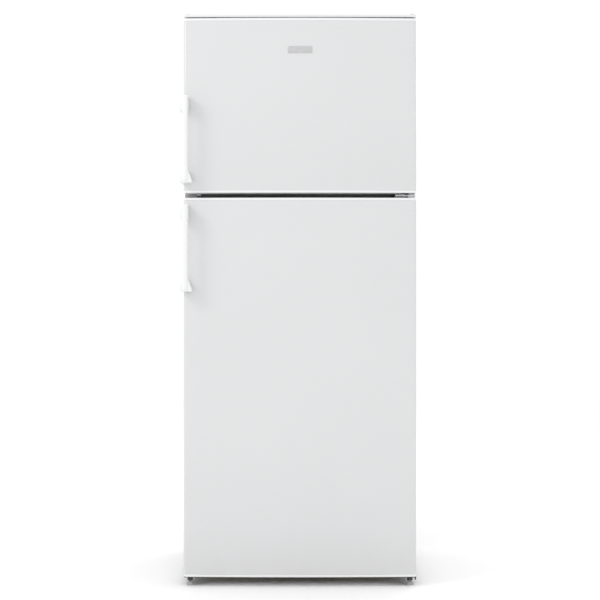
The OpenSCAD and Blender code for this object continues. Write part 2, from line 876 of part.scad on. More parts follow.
module door_liner(z0, z1, core0, core1) {
  color("white") difference() {
    union() {
      block(-half_w + sheet_t, half_w - sheet_t, y_door - liner_t, y_door, z0 + cap_h, z1 - cap_h);
      for (s = [0, 1]) mirror([s, 0, 0])
        block(dyke_x - dyke_w, dyke_x, y_door - liner_t, y_door + dyke_d, core0, core1);
    }
    for (s = [0, 1]) mirror([s, 0, 0])
      block(dyke_x - dyke_w + liner_t, dyke_x - liner_t, y_door - liner_t - over, y_door + dyke_d - liner_t,
        core0 + liner_t, core1 - liner_t);
  }
}

module door_gasket(core0, core1) {
  color("gainsboro") difference() {
    block(-gasket_x - gasket_w, gasket_x + gasket_w, y_door, y_box - moving_gap,
      core0 - core_lap - gasket_w, core1 + core_lap + gasket_w);
    block(-gasket_x, gasket_x, y_door - over, y_box, core0 - core_lap, core1 + core_lap);
  }
}

module door_caps(z0, z1) {
  color("white") difference() {
    union() {
      door_slab(0, z0, z0 + cap_h);
      door_slab(0, z1 - cap_h, z1);
      bar_z(hinge_x, hinge_y, z0, z0 + bush_h, boss_r);
      bar_z(hinge_x, hinge_y, z1 - bush_h, z1, boss_r);
    }
    bushes(z0, z1, pin_r + run_fit);
  }
}

module rack(z, h) {
  tray(-rack_x, rack_x, y_door, y_door + rack_d, z, z + h, rack_t);
}

flare_w = 28;
flare_h = 36;
flare_wrap = 12;
flare_lip = 6;
head_h = 45;
head_slope = 24;
bar_end = 5;
bar_lead = 4;
wrap_depth = door_t * 0.7;

// A block as seen from the front, cut from y0 to y1
module front_cut(points, y0, y1) {
  translate([0, y1, 0]) rotate([90, 0, 0]) linear_extrude(y1 - y0) polygon(points);
}

// One handle: a rounded bar, a tapered upper end and a flared lower end, wrapped round the door's side
module handle(z0) {
  z1 = z0 + handle_len;
  y0 = y_front - handle_out;
  y_wrap = y_edge + wrap_depth;
  x0 = -half_w - wrap_out;
  x1 = -half_w + bar_w;
  r = bar_t / 2;
  x2 = -half_w + flare_w;
  head = [[-half_w, z1], [x1, z1], [x1, z1 - head_h], [x0, z1 - head_h], [x0, z1 - head_slope]];
  flare = [[x0, z0], [x2, z0], [x2, z0 + flare_lip], [x1, z0 + flare_h], [-half_w, z0 + flare_h],
    [x0, z0 + flare_wrap]];
  color("white") difference() {
    union() {
      block(-half_w + r, x1 - r, y0, y0 + bar_t, z0 + bar_end, z1 - bar_end);
      for (x = [-half_w + r, x1 - r]) bar_z(x, y0 + r, z0 + bar_end, z1 - bar_end, r);
      intersection() {
        for (points = [head, flare]) front_cut(points, y0 + bar_lead, y_wrap);
        union() {
          block(x0, x2, y0 + bar_lead, y_edge + edge_r, z0, z1);
          block(x0, -half_w, y_edge, y_wrap, z0, z1);
        }
      }
    }
    door_slab(0, z0 - over, z1 + over);
  }
}

module freezer_door_skin() door_skin(z_up0, z_up1);
module freezer_door_foam() door_foam(z_up0, z_up1, z_freezer0 + dyke_end, z_freezer1 - dyke_end);
module freezer_door_liner() door_liner(z_up0, z_up1, z_freezer0 + dyke_end, z_freezer1 - dyke_end);
module freezer_door_gasket() door_gasket(z_freezer0, z_freezer1);
module freezer_door_caps() door_caps(z_up0, z_up1);
module fridge_door_skin() door_skin(z_low0, z_low1);
module fridge_door_foam() door_foam(z_low0, z_low1, z_core0 + dyke_end, z_core1 - dyke_end);
module fridge_door_liner() door_liner(z_low0, z_low1, z_core0 + dyke_end, z_core1 - dyke_end);
module fridge_door_gasket() door_gasket(z_core0, z_core1);
module fridge_door_caps() door_caps(z_low0, z_low1);

freezer_rack_h = 70;
freezer_rack_at = [0.1, 0.56];
fridge_rack_h = 90;
fridge_rack_at = [0.03, 0.32, 0.58];
dairy_tray_d = 68;
dairy_tray_drop = 48;
dairy_tray_h = 30;

module freezer_door_racks() {
  color("white") for (share = freezer_rack_at) rack(z_freezer0 + freezer_h * share, freezer_rack_h);
}

fridge_span = z_core1 - z_core0;

module fridge_door_racks() {
  tray_x = rack_x - 5;
  tray_z = flap_z - dairy_tray_drop;
  color("white") {
    for (share = fridge_rack_at) rack(z_core0 + fridge_span * share, fridge_rack_h);
    tray(-tray_x, tray_x, y_door, y_door + dairy_tray_d, tray_z, tray_z + dairy_tray_h, rack_t);
  }
}

freezer_handle_lift = 28;
fridge_handle_drop = 22;
freezer_handle_z = z_up0 + freezer_handle_lift;
fridge_handle_z = z_low1 - fridge_handle_drop - handle_len;
module freezer_handle() handle(freezer_handle_z);
module fridge_handle() handle(fridge_handle_z);

badge_w = 72;
badge_h = 20;
badge_t = 1.5;
badge_drop = 85;

module badge_plate() {
  z1 = z_up1 - badge_drop;
  color("silver") block(-badge_w / 2, badge_w / 2, y_front - badge_t, y_front, z1 - badge_h, z1);
}

module dairy_flap() {
  color("lightcyan") {
      translate([-rack_x + 0.5, flap_y, flap_z]) rotate([90, 0, 90]) rotate([0, 0, -flap_tilt])
        linear_extrude(2 * rack_x - 1) difference() {
          intersection() {
            circle(r = flap_r);
            square(flap_r + over);
          }
          circle(r = flap_r - flap_t);
        }
      for (x = [-rack_x + 0.5, rack_x - 0.5 - flap_t]) translate([x, flap_y, flap_z])
        rotate([90, 0, 90]) rotate([0, 0, -flap_tilt]) linear_extrude(flap_t) union() {
          intersection() {
            circle(r = flap_r - flap_t / 2);
            square(flap_r);
          }
          circle(r = flap_hub);
        }
  }
}

outer_wrapper();
back_panel();
base_frame();
cabinet_foam();
freezer_liner();
fridge_liner();
cross_rail();
blanking_plate();
top_cover();
top_hinge();
top_hinge_cover();
middle_hinge();
bottom_hinge();
hinge_screws();
condenser_coil();
condenser_wires();
condenser_brackets();
compressor();
compressor_mounts();
compressor_relay();
filter_drier();
refrigerant_pipes();
drain_pan();
drain_tube();
mains_inlet();
evaporator();
evaporator_cover();
fan_motor();
evaporator_fan();
air_duct();
control_housing();
thermostat_knob();
lamp();
switch_housing();
door_switch();
freezer_shelf();
fridge_shelves();
shelf_trims();
crisper_cover();
crisper_drawer();
front_foot_left();
front_foot_right();
rear_roller_left();
rear_roller_right();
freezer_door_skin();
freezer_door_foam();
freezer_door_liner();
freezer_door_gasket();
freezer_door_caps();
freezer_door_racks();
freezer_handle();
badge_plate();
fridge_door_skin();
fridge_door_foam();
fridge_door_liner();
fridge_door_gasket();
fridge_door_caps();
fridge_door_racks();
fridge_handle();
dairy_flap();
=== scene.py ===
"""Looks of a two-door top freezer refrigerator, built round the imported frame.

Each sub-assembly is a class that takes its sizes from the frame, models its pieces with
edit-mode steps and dresses them in procedural finishes.
"""
import json
import logging
import math
from dataclasses import dataclass, field
from enum import Enum
from typing import Callable, Sequence

import bmesh
import bpy
from mathutils import Matrix, Vector

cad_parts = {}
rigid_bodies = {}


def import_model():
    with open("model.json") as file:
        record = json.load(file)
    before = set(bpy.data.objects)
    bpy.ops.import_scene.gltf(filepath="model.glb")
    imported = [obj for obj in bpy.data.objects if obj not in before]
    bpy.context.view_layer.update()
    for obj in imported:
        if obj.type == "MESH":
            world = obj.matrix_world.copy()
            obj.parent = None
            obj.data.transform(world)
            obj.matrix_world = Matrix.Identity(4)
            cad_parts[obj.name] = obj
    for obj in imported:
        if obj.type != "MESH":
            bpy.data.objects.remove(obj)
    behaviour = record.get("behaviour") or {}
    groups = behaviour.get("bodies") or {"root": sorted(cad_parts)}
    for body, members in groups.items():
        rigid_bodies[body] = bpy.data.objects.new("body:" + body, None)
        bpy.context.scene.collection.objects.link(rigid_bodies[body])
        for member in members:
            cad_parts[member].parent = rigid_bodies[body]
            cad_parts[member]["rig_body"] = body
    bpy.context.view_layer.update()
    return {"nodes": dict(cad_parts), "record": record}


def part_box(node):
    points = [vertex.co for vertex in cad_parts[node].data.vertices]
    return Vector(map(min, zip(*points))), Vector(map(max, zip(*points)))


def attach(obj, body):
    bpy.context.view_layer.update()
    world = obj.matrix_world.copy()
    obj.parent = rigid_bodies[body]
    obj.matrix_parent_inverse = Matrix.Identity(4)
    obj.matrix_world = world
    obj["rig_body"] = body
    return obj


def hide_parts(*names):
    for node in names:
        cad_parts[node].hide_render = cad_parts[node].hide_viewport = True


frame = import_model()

LOG = logging.getLogger("refrigerator")
MM = 0.001
SMOOTH_ANGLE = math.radians(35)
PARALLEL = 0.9
NEAR = 0.0001
MERGE = 0.00002
OVERSHOOT = 0.01
ALONG_Y, ALONG_Z = (0, 1, 0), (0, 0, 1)
COLOR, FLOAT, VECTOR = "NodeSocketColor", "NodeSocketFloat", "NodeSocketVector"
MIX_SHARE, MIX_FROM, MIX_TO, MIX_RESULT = 0, 6, 7, 2
Test = Callable[[Vector, Vector], bool]


# ---------------------------------------------------------------- finishes


class Pattern(Enum):
    """How a finish varies over a surface."""

    PLAIN = "plain"
    GRAINED = "grained"
    BRUSHED = "brushed"
    FOAMED = "foamed"


@dataclass(frozen=True)
class Finish:
    """One material: its colours, gloss and relief."""

    name: str
    light: tuple[float, float, float]
    dark: tuple[float, float, float]
    rough: tuple[float, float] = (0.25, 0.35)
    metallic: float = 0.0
    coat: float = 0.0
    scale: float = 30.0
    relief: float = 0.02
    depth: float = 0.0004
    pattern: Pattern = Pattern.PLAIN
    stretch: tuple[float, float, float] = (1.0, 1.0, 1.0)
    transmission: float = 0.0
    ior: float = 1.45
    alpha: float = 1.0
    # how strongly the colour darkens towards the floor, in patches
    floor_darkening: float = 0.0


class Finishes:
    """Builds each finish once and hands out its material."""

    def __init__(self) -> None:
        """Prepare the shared node groups."""
        self.made: dict[str, bpy.types.Material] = {}
        self.mottle = self._mottle_group()
        self.floor_darkening = self._floor_darkening_group()

    @staticmethod
    def _group(name: str, inputs: Sequence[tuple[str, str, object]],
               outputs: Sequence[tuple[str, str]]) -> bpy.types.NodeTree:
        """Make an empty node group with its sockets.

        Args:
            name: the group's name.
            inputs: each input's name, type and default.
            outputs: each output's name and type.

        Returns:
            The node group.
        """
        group = bpy.data.node_groups.new(name, "ShaderNodeTree")
        for label, kind, value in inputs:
            socket = group.interface.new_socket(name=label, in_out="INPUT", socket_type=kind)
            if value is not None:
                socket.default_value = value
        for label, kind in outputs:
            group.interface.new_socket(name=label, in_out="OUTPUT", socket_type=kind)
        return group

    @staticmethod
    def _node(tree: bpy.types.NodeTree, kind: str, inputs: dict[str | int, object] | None = None,
              **settings: object) -> bpy.types.Node:
        """Add one node with its values and settings.

        Args:
            tree: the tree it goes in.
            kind: its type, without the shader prefix.
            inputs: the values of its inputs.
            settings: its other settings.

        Returns:
            The new node.
        """
        node = tree.nodes.new(f"ShaderNode{kind}")
        for key, value in settings.items():
            setattr(node, key, value)
        for key, value in (inputs or {}).items():
            node.inputs[key].default_value = value
        return node

    @staticmethod
    def _wire(tree: bpy.types.NodeTree,
              *wires: tuple[bpy.types.Node, str | int, bpy.types.Node, str | int]) -> None:
        """Link nodes.

        Args:
            tree: the tree they are in.
            wires: each link's source, its output, its target and the target's input.
        """
        for source, output, target, enter in wires:
            tree.links.new(source.outputs[output], target.inputs[enter])

    def _mottle_group(self) -> bpy.types.NodeTree:
        """Make the group that varies colour, roughness and height with two layers of noise.

        Returns:
            The node group.
        """
        group = self._group("mottle", (("Place", VECTOR, None), ("Light", COLOR, (0.8, 0.8, 0.8, 1)),
                                       ("Dark", COLOR, (0.7, 0.7, 0.7, 1)), ("Scale", FLOAT, 30.0),
                                       ("Smooth", FLOAT, 0.2), ("Rough", FLOAT, 0.4)),
                            (("Color", COLOR), ("Roughness", FLOAT), ("Height", FLOAT)))
        enter, leave = group.nodes.new("NodeGroupInput"), group.nodes.new("NodeGroupOutput")
        broad = self._node(group, "TexNoise", {"Scale": 2.6, "Detail": 3.0})
        fine = self._node(group, "TexNoise", {"Detail": 4.0})
        both = self._node(group, "Math", operation="MULTIPLY")
        spread = self._node(group, "MapRange", {"From Min": 0.12, "From Max": 0.42})
        blend = self._node(group, "Mix", data_type="RGBA")
        gloss = self._node(group, "MapRange", {"From Min": 0.3, "From Max": 0.7})
        self._wire(group, (enter, "Place", broad, "Vector"), (enter, "Place", fine, "Vector"),
                   (enter, "Scale", fine, "Scale"), (broad, "Fac", both, 0), (fine, "Fac", both, 1),
                   (both, 0, spread, "Value"), (spread, "Result", blend, MIX_SHARE),
                   (enter, "Light", blend, MIX_FROM), (enter, "Dark", blend, MIX_TO),
                   (blend, MIX_RESULT, leave, "Color"), (fine, "Fac", gloss, "Value"),
                   (enter, "Smooth", gloss, "To Min"), (enter, "Rough", gloss, "To Max"),
                   (gloss, "Result", leave, "Roughness"), (fine, "Fac", leave, "Height"))
        return group

    def _floor_darkening_group(self) -> bpy.types.NodeTree:
        """Make the group that darkens a colour towards the floor, in patches.

        Returns:
            The node group.
        """
        group = self._group("floor_darkening", (("Place", VECTOR, None), ("Color", COLOR, (0.8, 0.8, 0.8, 1)),
                                     ("Amount", FLOAT, 0.0)), (("Color", COLOR),))
        enter, leave = group.nodes.new("NodeGroupInput"), group.nodes.new("NodeGroupOutput")
        split = self._node(group, "SeparateXYZ")
        # mask: full at the floor, nothing from 18 cm up, broken into patches by noise
        low = self._node(group, "MapRange", {"From Min": 0.18, "From Max": 0.0})
        cloud = self._node(group, "TexNoise", {"Scale": 14.0})
        share = self._node(group, "Math", operation="MULTIPLY")
        mask = self._node(group, "Math", operation="MULTIPLY")
        blend = self._node(group, "Mix", {MIX_TO: (0.22, 0.2, 0.17, 1)}, data_type="RGBA")
        self._wire(group, (enter, "Place", split, 0), (enter, "Place", cloud, "Vector"),
                   (split, "Z", low, "Value"), (low, "Result", share, 0), (cloud, "Fac", share, 1),
                   (share, 0, mask, 0), (enter, "Amount", mask, 1), (mask, 0, blend, MIX_SHARE),
                   (enter, "Color", blend, MIX_FROM), (blend, MIX_RESULT, leave, "Color"))
        return group

    def get(self, finish: Finish) -> bpy.types.Material:
        """Give the material of a finish, making it the first time.

        Args:
            finish: the finish wanted.

        Returns:
            Its material.
        """
        if finish.name not in self.made:
            self.made[finish.name] = self._build(finish)
        return self.made[finish.name]

    def _build(self, finish: Finish) -> bpy.types.Material:
        """Build one material's nodes.

        Args:
            finish: the finish to build.

        Returns:
            The new material.
        """
        material = bpy.data.materials.new(finish.name)
        material.use_nodes = True
        nodes, links = material.node_tree.nodes, material.node_tree.links
        shader = nodes["Principled BSDF"]
        place = nodes.new("ShaderNodeTexCoord")
        turn = nodes.new("ShaderNodeMapping")
        turn.inputs["Scale"].default_value = finish.stretch
        links.new(place.outputs["Object"], turn.inputs["Vector"])
        mottle = nodes.new("ShaderNodeGroup")
        mottle.node_tree = self.mottle
        mottle.inputs["Light"].default_value = (*finish.light, 1)
        mottle.inputs["Dark"].default_value = (*finish.dark, 1)
        mottle.inputs["Scale"].default_value = finish.scale
        mottle.inputs["Smooth"].default_value = finish.rough[0]
        mottle.inputs["Rough"].default_value = finish.rough[1]
        links.new(turn.outputs["Vector"], mottle.inputs["Place"])
        color = mottle.outputs["Color"]
        # darken the colour towards the floor, in patches
        if finish.floor_darkening:
            floor_darkening = nodes.new("ShaderNodeGroup")
            floor_darkening.node_tree = self.floor_darkening
            floor_darkening.inputs["Amount"].default_value = finish.floor_darkening
            links.new(place.outputs["Object"], floor_darkening.inputs["Place"])
            links.new(color, floor_darkening.inputs["Color"])
            color = floor_darkening.outputs["Color"]
        links.new(color, shader.inputs["Base Color"])
        links.new(mottle.outputs["Roughness"], shader.inputs["Roughness"])
        height = self._height(finish, nodes, links, turn, mottle)
        bump = nodes.new("ShaderNodeBump")
        bump.inputs["Strength"].default_value = finish.relief
        bump.inputs["Distance"].default_value = finish.depth
        links.new(height, bump.inputs["Height"])
        links.new(bump.outputs["Normal"], shader.inputs["Normal"])
        shader.inputs["Metallic"].default_value = finish.metallic
        shader.inputs["Coat Weight"].default_value = finish.coat
        shader.inputs["Coat Roughness"].default_value = 0.12
        shader.inputs["IOR"].default_value = finish.ior
        shader.inputs["Transmission Weight"].default_value = finish.transmission
        shader.inputs["Alpha"].default_value = finish.alpha
        return material

    @staticmethod
    def _height(finish: Finish, nodes: bpy.types.Nodes, links: bpy.types.NodeLinks,
                turn: bpy.types.Node, mottle: bpy.types.Node) -> bpy.types.NodeSocket:
        """Choose the relief of a finish.

        Args:
            finish: the finish.
            nodes: the material's nodes.
            links: the material's links.
            turn: the node that gives the place on the piece.
            mottle: the shared noise.

        Returns:
            The socket that carries the height.
        """
        if finish.pattern in (Pattern.PLAIN, Pattern.BRUSHED):
            return mottle.outputs["Height"]
        cells = nodes.new("ShaderNodeTexVoronoi")
        finer = 3.0 if finish.pattern is Pattern.GRAINED else 1.5
        cells.inputs["Scale"].default_value = finish.scale * finer
        links.new(turn.outputs["Vector"], cells.inputs["Vector"])
        return cells.outputs["Distance"]


WHITE_ENAMEL = Finish("white_enamel", (0.70, 0.703, 0.71), (0.68, 0.683, 0.69), (0.2, 0.27), coat=0.35,
                      scale=420.0, relief=0.05, depth=0.0002, floor_darkening=0.12)
WHITE_MOULDED = Finish("white_moulded", (0.84, 0.845, 0.85), (0.82, 0.825, 0.83), (0.26, 0.36), scale=160.0,
                       relief=0.02, depth=0.0002, floor_darkening=0.1)
COVER_MOULDED = Finish("cover_moulded", (0.8, 0.805, 0.81), (0.77, 0.775, 0.78), (0.38, 0.5), scale=220.0,
                       relief=0.14, depth=0.0002, pattern=Pattern.GRAINED)
LINER_WHITE = Finish("liner_white", (0.8, 0.815, 0.825), (0.788, 0.803, 0.813), (0.34, 0.38), scale=60.0,
                     relief=0.004, depth=0.0001)
GREY_MOULDED = Finish("grey_moulded", (0.42, 0.42, 0.43), (0.36, 0.36, 0.37), (0.42, 0.55), scale=200.0,
                      relief=0.1, depth=0.0002, pattern=Pattern.GRAINED)
PLUG_GREY = Finish("plug_grey", (0.42, 0.42, 0.425), (0.37, 0.37, 0.375), (0.42, 0.55), scale=200.0,
                   relief=0.1, depth=0.0002, pattern=Pattern.GRAINED)
# painted shade: this dark grey stands in for the shadow deep in the gap between the doors
RAIL_PAINTED_SHADE = Finish("rail_painted_shade", (0.11, 0.11, 0.113), (0.08, 0.08, 0.083), (0.4, 0.55), scale=150.0,
                   relief=0.12, depth=0.0003, pattern=Pattern.GRAINED)
ZINC_SHEET = Finish("zinc_sheet", (0.56, 0.57, 0.58), (0.51, 0.52, 0.535), (0.36, 0.46), metallic=0.8,
                    scale=75.0, relief=0.04, depth=0.0002)
BRIGHT_STEEL = Finish("bright_steel", (0.62, 0.62, 0.63), (0.48, 0.48, 0.49), (0.22, 0.38), metallic=1.0,
                      scale=90.0, relief=0.08, depth=0.0002, pattern=Pattern.BRUSHED, stretch=(1.0, 9.0, 9.0))
BLACK_ENAMEL = Finish("black_enamel", (0.03, 0.03, 0.032), (0.018, 0.018, 0.02), (0.3, 0.46), coat=0.2,
                      scale=120.0, relief=0.1, depth=0.0003, floor_darkening=0.3)
COIL_BLACK = Finish("coil_black", (0.045, 0.045, 0.048), (0.03, 0.03, 0.032), (0.4, 0.6), scale=90.0,
                    relief=0.1, depth=0.0002, floor_darkening=0.2)
BLACK_MOULDED = Finish("black_moulded", (0.035, 0.035, 0.037), (0.022, 0.022, 0.024), (0.4, 0.55),
                       scale=220.0, relief=0.12, depth=0.0002, pattern=Pattern.GRAINED)
RUBBER = Finish("rubber", (0.028, 0.028, 0.03), (0.018, 0.018, 0.02), (0.7, 0.88), scale=180.0, relief=0.1)
COPPER = Finish("copper", (0.62, 0.3, 0.17), (0.38, 0.19, 0.12), (0.24, 0.46), metallic=1.0, scale=45.0,
                relief=0.05, depth=0.0002)
FIN_METAL = Finish("fin_metal", (0.72, 0.73, 0.75), (0.6, 0.61, 0.63), (0.28, 0.42), metallic=0.95,
                   scale=60.0, relief=0.06, depth=0.0002)
FOAM = Finish("insulation_foam", (0.74, 0.66, 0.42), (0.6, 0.52, 0.31), (0.75, 0.92), scale=140.0, relief=0.5,
              depth=0.0008, pattern=Pattern.FOAMED)
GASKET = Finish("gasket_vinyl", (0.66, 0.67, 0.685), (0.6, 0.61, 0.625), (0.5, 0.64), scale=120.0,
                relief=0.08, depth=0.0003)
SHELF_GLASS = Finish("shelf_glass", (0.7, 0.86, 0.82), (0.66, 0.83, 0.79), (0.02, 0.05), scale=12.0,
                     relief=0.01, ior=1.5, alpha=0.22)
CLEAR_MOULDED = Finish("clear_moulded", (0.8, 0.88, 0.92), (0.77, 0.86, 0.9), (0.06, 0.14), scale=90.0,
                       relief=0.02, depth=0.0002, ior=1.45, alpha=0.34)
LENS = Finish("lamp_lens", (0.95, 0.94, 0.9), (0.9, 0.89, 0.84), (0.3, 0.42), scale=90.0, relief=0.1,
              transmission=0.35)
BADGE = Finish("badge_metal", (0.66, 0.66, 0.67), (0.56, 0.56, 0.57), (0.24, 0.36), metallic=0.9, scale=80.0,
               relief=0.06, depth=0.0001, pattern=Pattern.BRUSHED, stretch=(1.0, 8.0, 8.0))


# ---------------------------------------------------------------- the bench


class Kind(Enum):
    """What an edit-mode step picks."""

    VERT = "VERT"
    EDGE = "EDGE"
    FACE = "FACE"


class Bench:
    """Modelling steps on one object, done with operators as by hand."""

    def __init__(self, obj: bpy.types.Object) -> None:
        """Take an object onto the bench.

        Args:
            obj: the object to shape.
        """
        self.obj = obj

    @classmethod
    def block(cls, name: str, low: Sequence[float], high: Sequence[float]) -> "Bench":
        """Add a block between two corners.

        Args:
            name: the piece's name.
            low: its lowest corner.
            high: its highest corner.

        Returns:
            A bench that holds it.
        """
        bpy.ops.object.select_all(action="DESELECT")
        low, high = Vector(low), Vector(high)
        bpy.ops.mesh.primitive_cube_add(size=1, location=(low + high) / 2)
        return cls._settle(name, scale=high - low)

    @classmethod
    def rod(cls, name: str, start: Sequence[float], end: Sequence[float], radius: float,
            sides: int = 40) -> "Bench":
        """Add a round bar between two points.

        Args:
            name: the piece's name.
            start: the middle of one end.
            end: the middle of the other end.
            radius: its radius.
            sides: how many sides it is drawn with.

        Returns:
            A bench that holds it.
        """
        bpy.ops.object.select_all(action="DESELECT")
        start, end = Vector(start), Vector(end)
        run = end - start
        bpy.ops.mesh.primitive_cylinder_add(vertices=sides, radius=radius, depth=run.length,
                                            location=(start + end) / 2,
                                            rotation=run.to_track_quat("Z", "Y").to_euler())
        return cls._settle(name)

    @classmethod
    def copy_of(cls, node: str) -> "Bench":
        """Copy a CAD node's mesh, merged and with its flat faces whole again.

        Args:
            node: the CAD node.

        Returns:
            A bench that holds the copy.
        """
        bpy.ops.object.select_all(action="DESELECT")
        source = frame["nodes"][node]
        obj = bpy.data.objects.new(f"{node}_piece", source.data.copy())
        obj.data.materials.clear()
        bpy.context.scene.collection.objects.link(obj)
        bench = cls(obj)
        bench.open()
        bpy.ops.mesh.select_all(action="SELECT")
        bpy.ops.mesh.remove_doubles(threshold=MERGE)
        bpy.ops.mesh.dissolve_limited(angle_limit=math.radians(0.6))
        bench.close()
        for layer in list(obj.data.attributes):
            if layer.name.startswith("custom_normal"):
                obj.data.attributes.remove(layer)
        return bench

    @classmethod
    def _settle(cls, name: str, scale: Vector | None = None) -> "Bench":
        """Name the new primitive and put its place into its mesh.

        Args:
            name: the piece's name.
            scale: its size, where it starts as a unit cube.

        Returns:
            A bench that holds it.
        """
        obj = bpy.context.active_object
        if scale is not None:
            obj.scale = scale
        bpy.ops.object.transform_apply(location=True, rotation=True, scale=True)
        obj.name = obj.data.name = name
        return cls(obj)

    def _alone(self) -> None:
        """Select only this object."""
        bpy.ops.object.select_all(action="DESELECT")
        bpy.context.view_layer.objects.active = self.obj
        self.obj.select_set(True)

    def open(self) -> "Bench":
        """Enter edit mode with nothing picked."""
        self._alone()
        bpy.ops.object.mode_set(mode="EDIT")
        bpy.ops.mesh.select_mode(type="VERT")
        bpy.ops.mesh.select_all(action="DESELECT")
        return self

    def close(self) -> "Bench":
        """Leave edit mode."""
        bpy.ops.object.mode_set(mode="OBJECT")
        return self

    def pick(self, kind: Kind, test: Test) -> int:
        """Pick elements by their place and their normal, or an edge's direction.

        Args:
            kind: what to pick.
            test: given the middle and the direction, says whether to pick it.

        Returns:
            How many were picked.
        """
        bpy.ops.mesh.select_mode(type=kind.value)
        bpy.ops.mesh.select_all(action="DESELECT")
        mesh = bmesh.from_edit_mesh(self.obj.data)
        count = 0
        if kind is Kind.VERT:
            items = [(v, v.co, v.normal) for v in mesh.verts]
        elif kind is Kind.EDGE:
            items = [(e, (e.verts[0].co + e.verts[1].co) / 2, (e.verts[1].co - e.verts[0].co).normalized())
                     for e in mesh.edges]
        else:
            items = [(f, f.calc_center_median(), f.normal) for f in mesh.faces]
        for item, middle, way in items:
            if test(middle, way):
                item.select_set(True)
                count += 1
        mesh.select_flush_mode()
        bmesh.update_edit_mesh(self.obj.data)
        return count

    def move(self, by: Sequence[float]) -> "Bench":
        """Move what is picked."""
        bpy.ops.transform.translate(value=by, orient_type="GLOBAL")
        return self

    def inset(self, width: float, depth: float = 0.0) -> "Bench":
        """Inset the picked faces and push them in or out."""
        bpy.ops.mesh.inset(thickness=width, depth=depth, use_even_offset=True)
        return self

    def extrude(self, by: Sequence[float]) -> "Bench":
        """Extrude the picked faces."""
        bpy.ops.mesh.extrude_region_move(TRANSFORM_OT_translate={"value": by, "orient_type": "GLOBAL"})
        return self

    def bevel(self, width: float, segments: int = 3) -> "Bench":
        """Bevel the picked edges."""
        bpy.ops.mesh.bevel(offset=width, segments=segments, affect="EDGES", clamp_overlap=True)
        return self

    def round_edges(self, test: Test, width: float, segments: int = 3) -> "Bench":
        """Bevel the edges that a test picks, in edit mode.

        Args:
            test: given an edge's middle and direction, says whether to round it.
            width: how far the rounding reaches.
            segments: how many faces it has.

        Returns:
            This bench.
        """
        self.pick(Kind.EDGE, test)
        return self.bevel(width, segments)

    def round_rim(self, test: Test, width: float, segments: int = 3) -> "Bench":
        """Bevel the outline of the faces that a test picks, in edit mode.

        Args:
            test: given a face's middle and normal, says whether it is one of them.
            width: how far the rounding reaches.
            segments: how many faces it has.

        Returns:
            This bench.
        """
        self.pick(Kind.FACE, test)
        bpy.ops.mesh.region_to_loop()
        return self.bevel(width, segments)

    def round_along(self, way: Sequence[float], width: float, segments: int = 3) -> "Bench":
        """Bevel the edges that run along a direction, from object mode.

        Args:
            way: the direction.
            width: how far the rounding reaches.
            segments: how many faces it has.

        Returns:
            This bench.
        """
        way = Vector(way)
        self.open()
        self.round_edges(lambda c, d: abs(d.dot(way)) > PARALLEL, width, segments)
        return self.close()

    def modifier(self, kind: str, **values: object) -> "Bench":
        """Add a modifier and apply it.

        Args:
            kind: the modifier's type.
            values: its settings.

        Returns:
            This bench.
        """
        self._alone()
        made = self.obj.modifiers.new(kind.lower(), kind)
        for key, value in values.items():
            setattr(made, key, value)
        bpy.ops.object.modifier_apply(modifier=made.name)
        return self

    def soften(self, width: float, segments: int = 2, angle: float = 32.0) -> "Bench":
        """Round every sharp edge.

        Args:
            width: how far the rounding reaches from the edge.
            segments: how many faces it has.
            angle: edges sharper than this many degrees are rounded.

        Returns:
            This bench.
        """
        return self.modifier("BEVEL", width=width, segments=segments, limit_method="ANGLE",
                             angle_limit=math.radians(angle), use_clamp_overlap=True, harden_normals=False)

    def cut(self, tools: Sequence["Bench"]) -> "Bench":
        """Cut this piece with others, and throw the others away.

        Args:
            tools: the other pieces.

        Returns:
            This bench.
        """
        for tool in tools:
            self.modifier("BOOLEAN", operation="DIFFERENCE", object=tool.obj, solver="EXACT")
            bpy.data.objects.remove(tool.obj)
        return self

    def join(self, others: Sequence["Bench"]) -> "Bench":
        """Join other pieces into this one's mesh.

        Args:
            others: the pieces to join on.

        Returns:
            This bench.
        """
        self._alone()
        for other in others:
            other.obj.select_set(True)
        bpy.ops.object.join()
        return self

    def shifted(self, by: Sequence[float], name: str) -> "Bench":
        """Copy this piece with its own mesh, some way off.

        Args:
            by: how far the copy stands off.
            name: the copy's name.

        Returns:
            A bench that holds the copy.
        """
        mesh = self.obj.data.copy()
        mesh.transform(Matrix.Translation(Vector(by)))
        obj = bpy.data.objects.new(name, mesh)
        bpy.context.scene.collection.objects.link(obj)
        return Bench(obj)

    def finish(self, body: str, slot: str, material: bpy.types.Material,
               replaced: Sequence[str] = ()) -> "Bench":
        """Dress the piece, smooth it and make it ride on its body.

        Args:
            body: the CAD body it moves with.
            slot: the record's material slot; not used.
            material: its material.
            replaced: the CAD nodes that it stands for.

        Returns:
            This bench.
        """
        self.open()
        bpy.ops.mesh.select_all(action="SELECT")
        bpy.ops.mesh.remove_doubles(threshold=0.00001)
        bpy.ops.mesh.normals_make_consistent(inside=False)
        self.close()
        self._alone()
        bpy.ops.object.shade_smooth_by_angle(angle=SMOOTH_ANGLE)
        self.obj.data.materials.clear()
        self.obj.data.materials.append(material)
        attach(self.obj, body)
        if replaced:
            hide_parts(*replaced)
        LOG.info("%s: %d faces on %s", self.obj.name, len(self.obj.data.polygons), body)
        return self


def body_of(node: str) -> str:
    """Give the body that a CAD node belongs to."""
    return frame["nodes"][node]["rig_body"]


def slot_of(node: str) -> str:
    """Give the record's material slot of a CAD node."""
    for part in frame["record"]["subparts"]:
        if part["node"] == node:
            return part["material_slot"]
    return ""


def dress(node: str, material: bpy.types.Material) -> None:
    """Give a CAD node that stays on show a better material.

    Args:
        node: the CAD node.
        material: its new material.
    """
    mesh = frame["nodes"][node].data
    mesh.materials.clear()
    mesh.materials.append(material)
    LOG.info("%s: dressed", node)


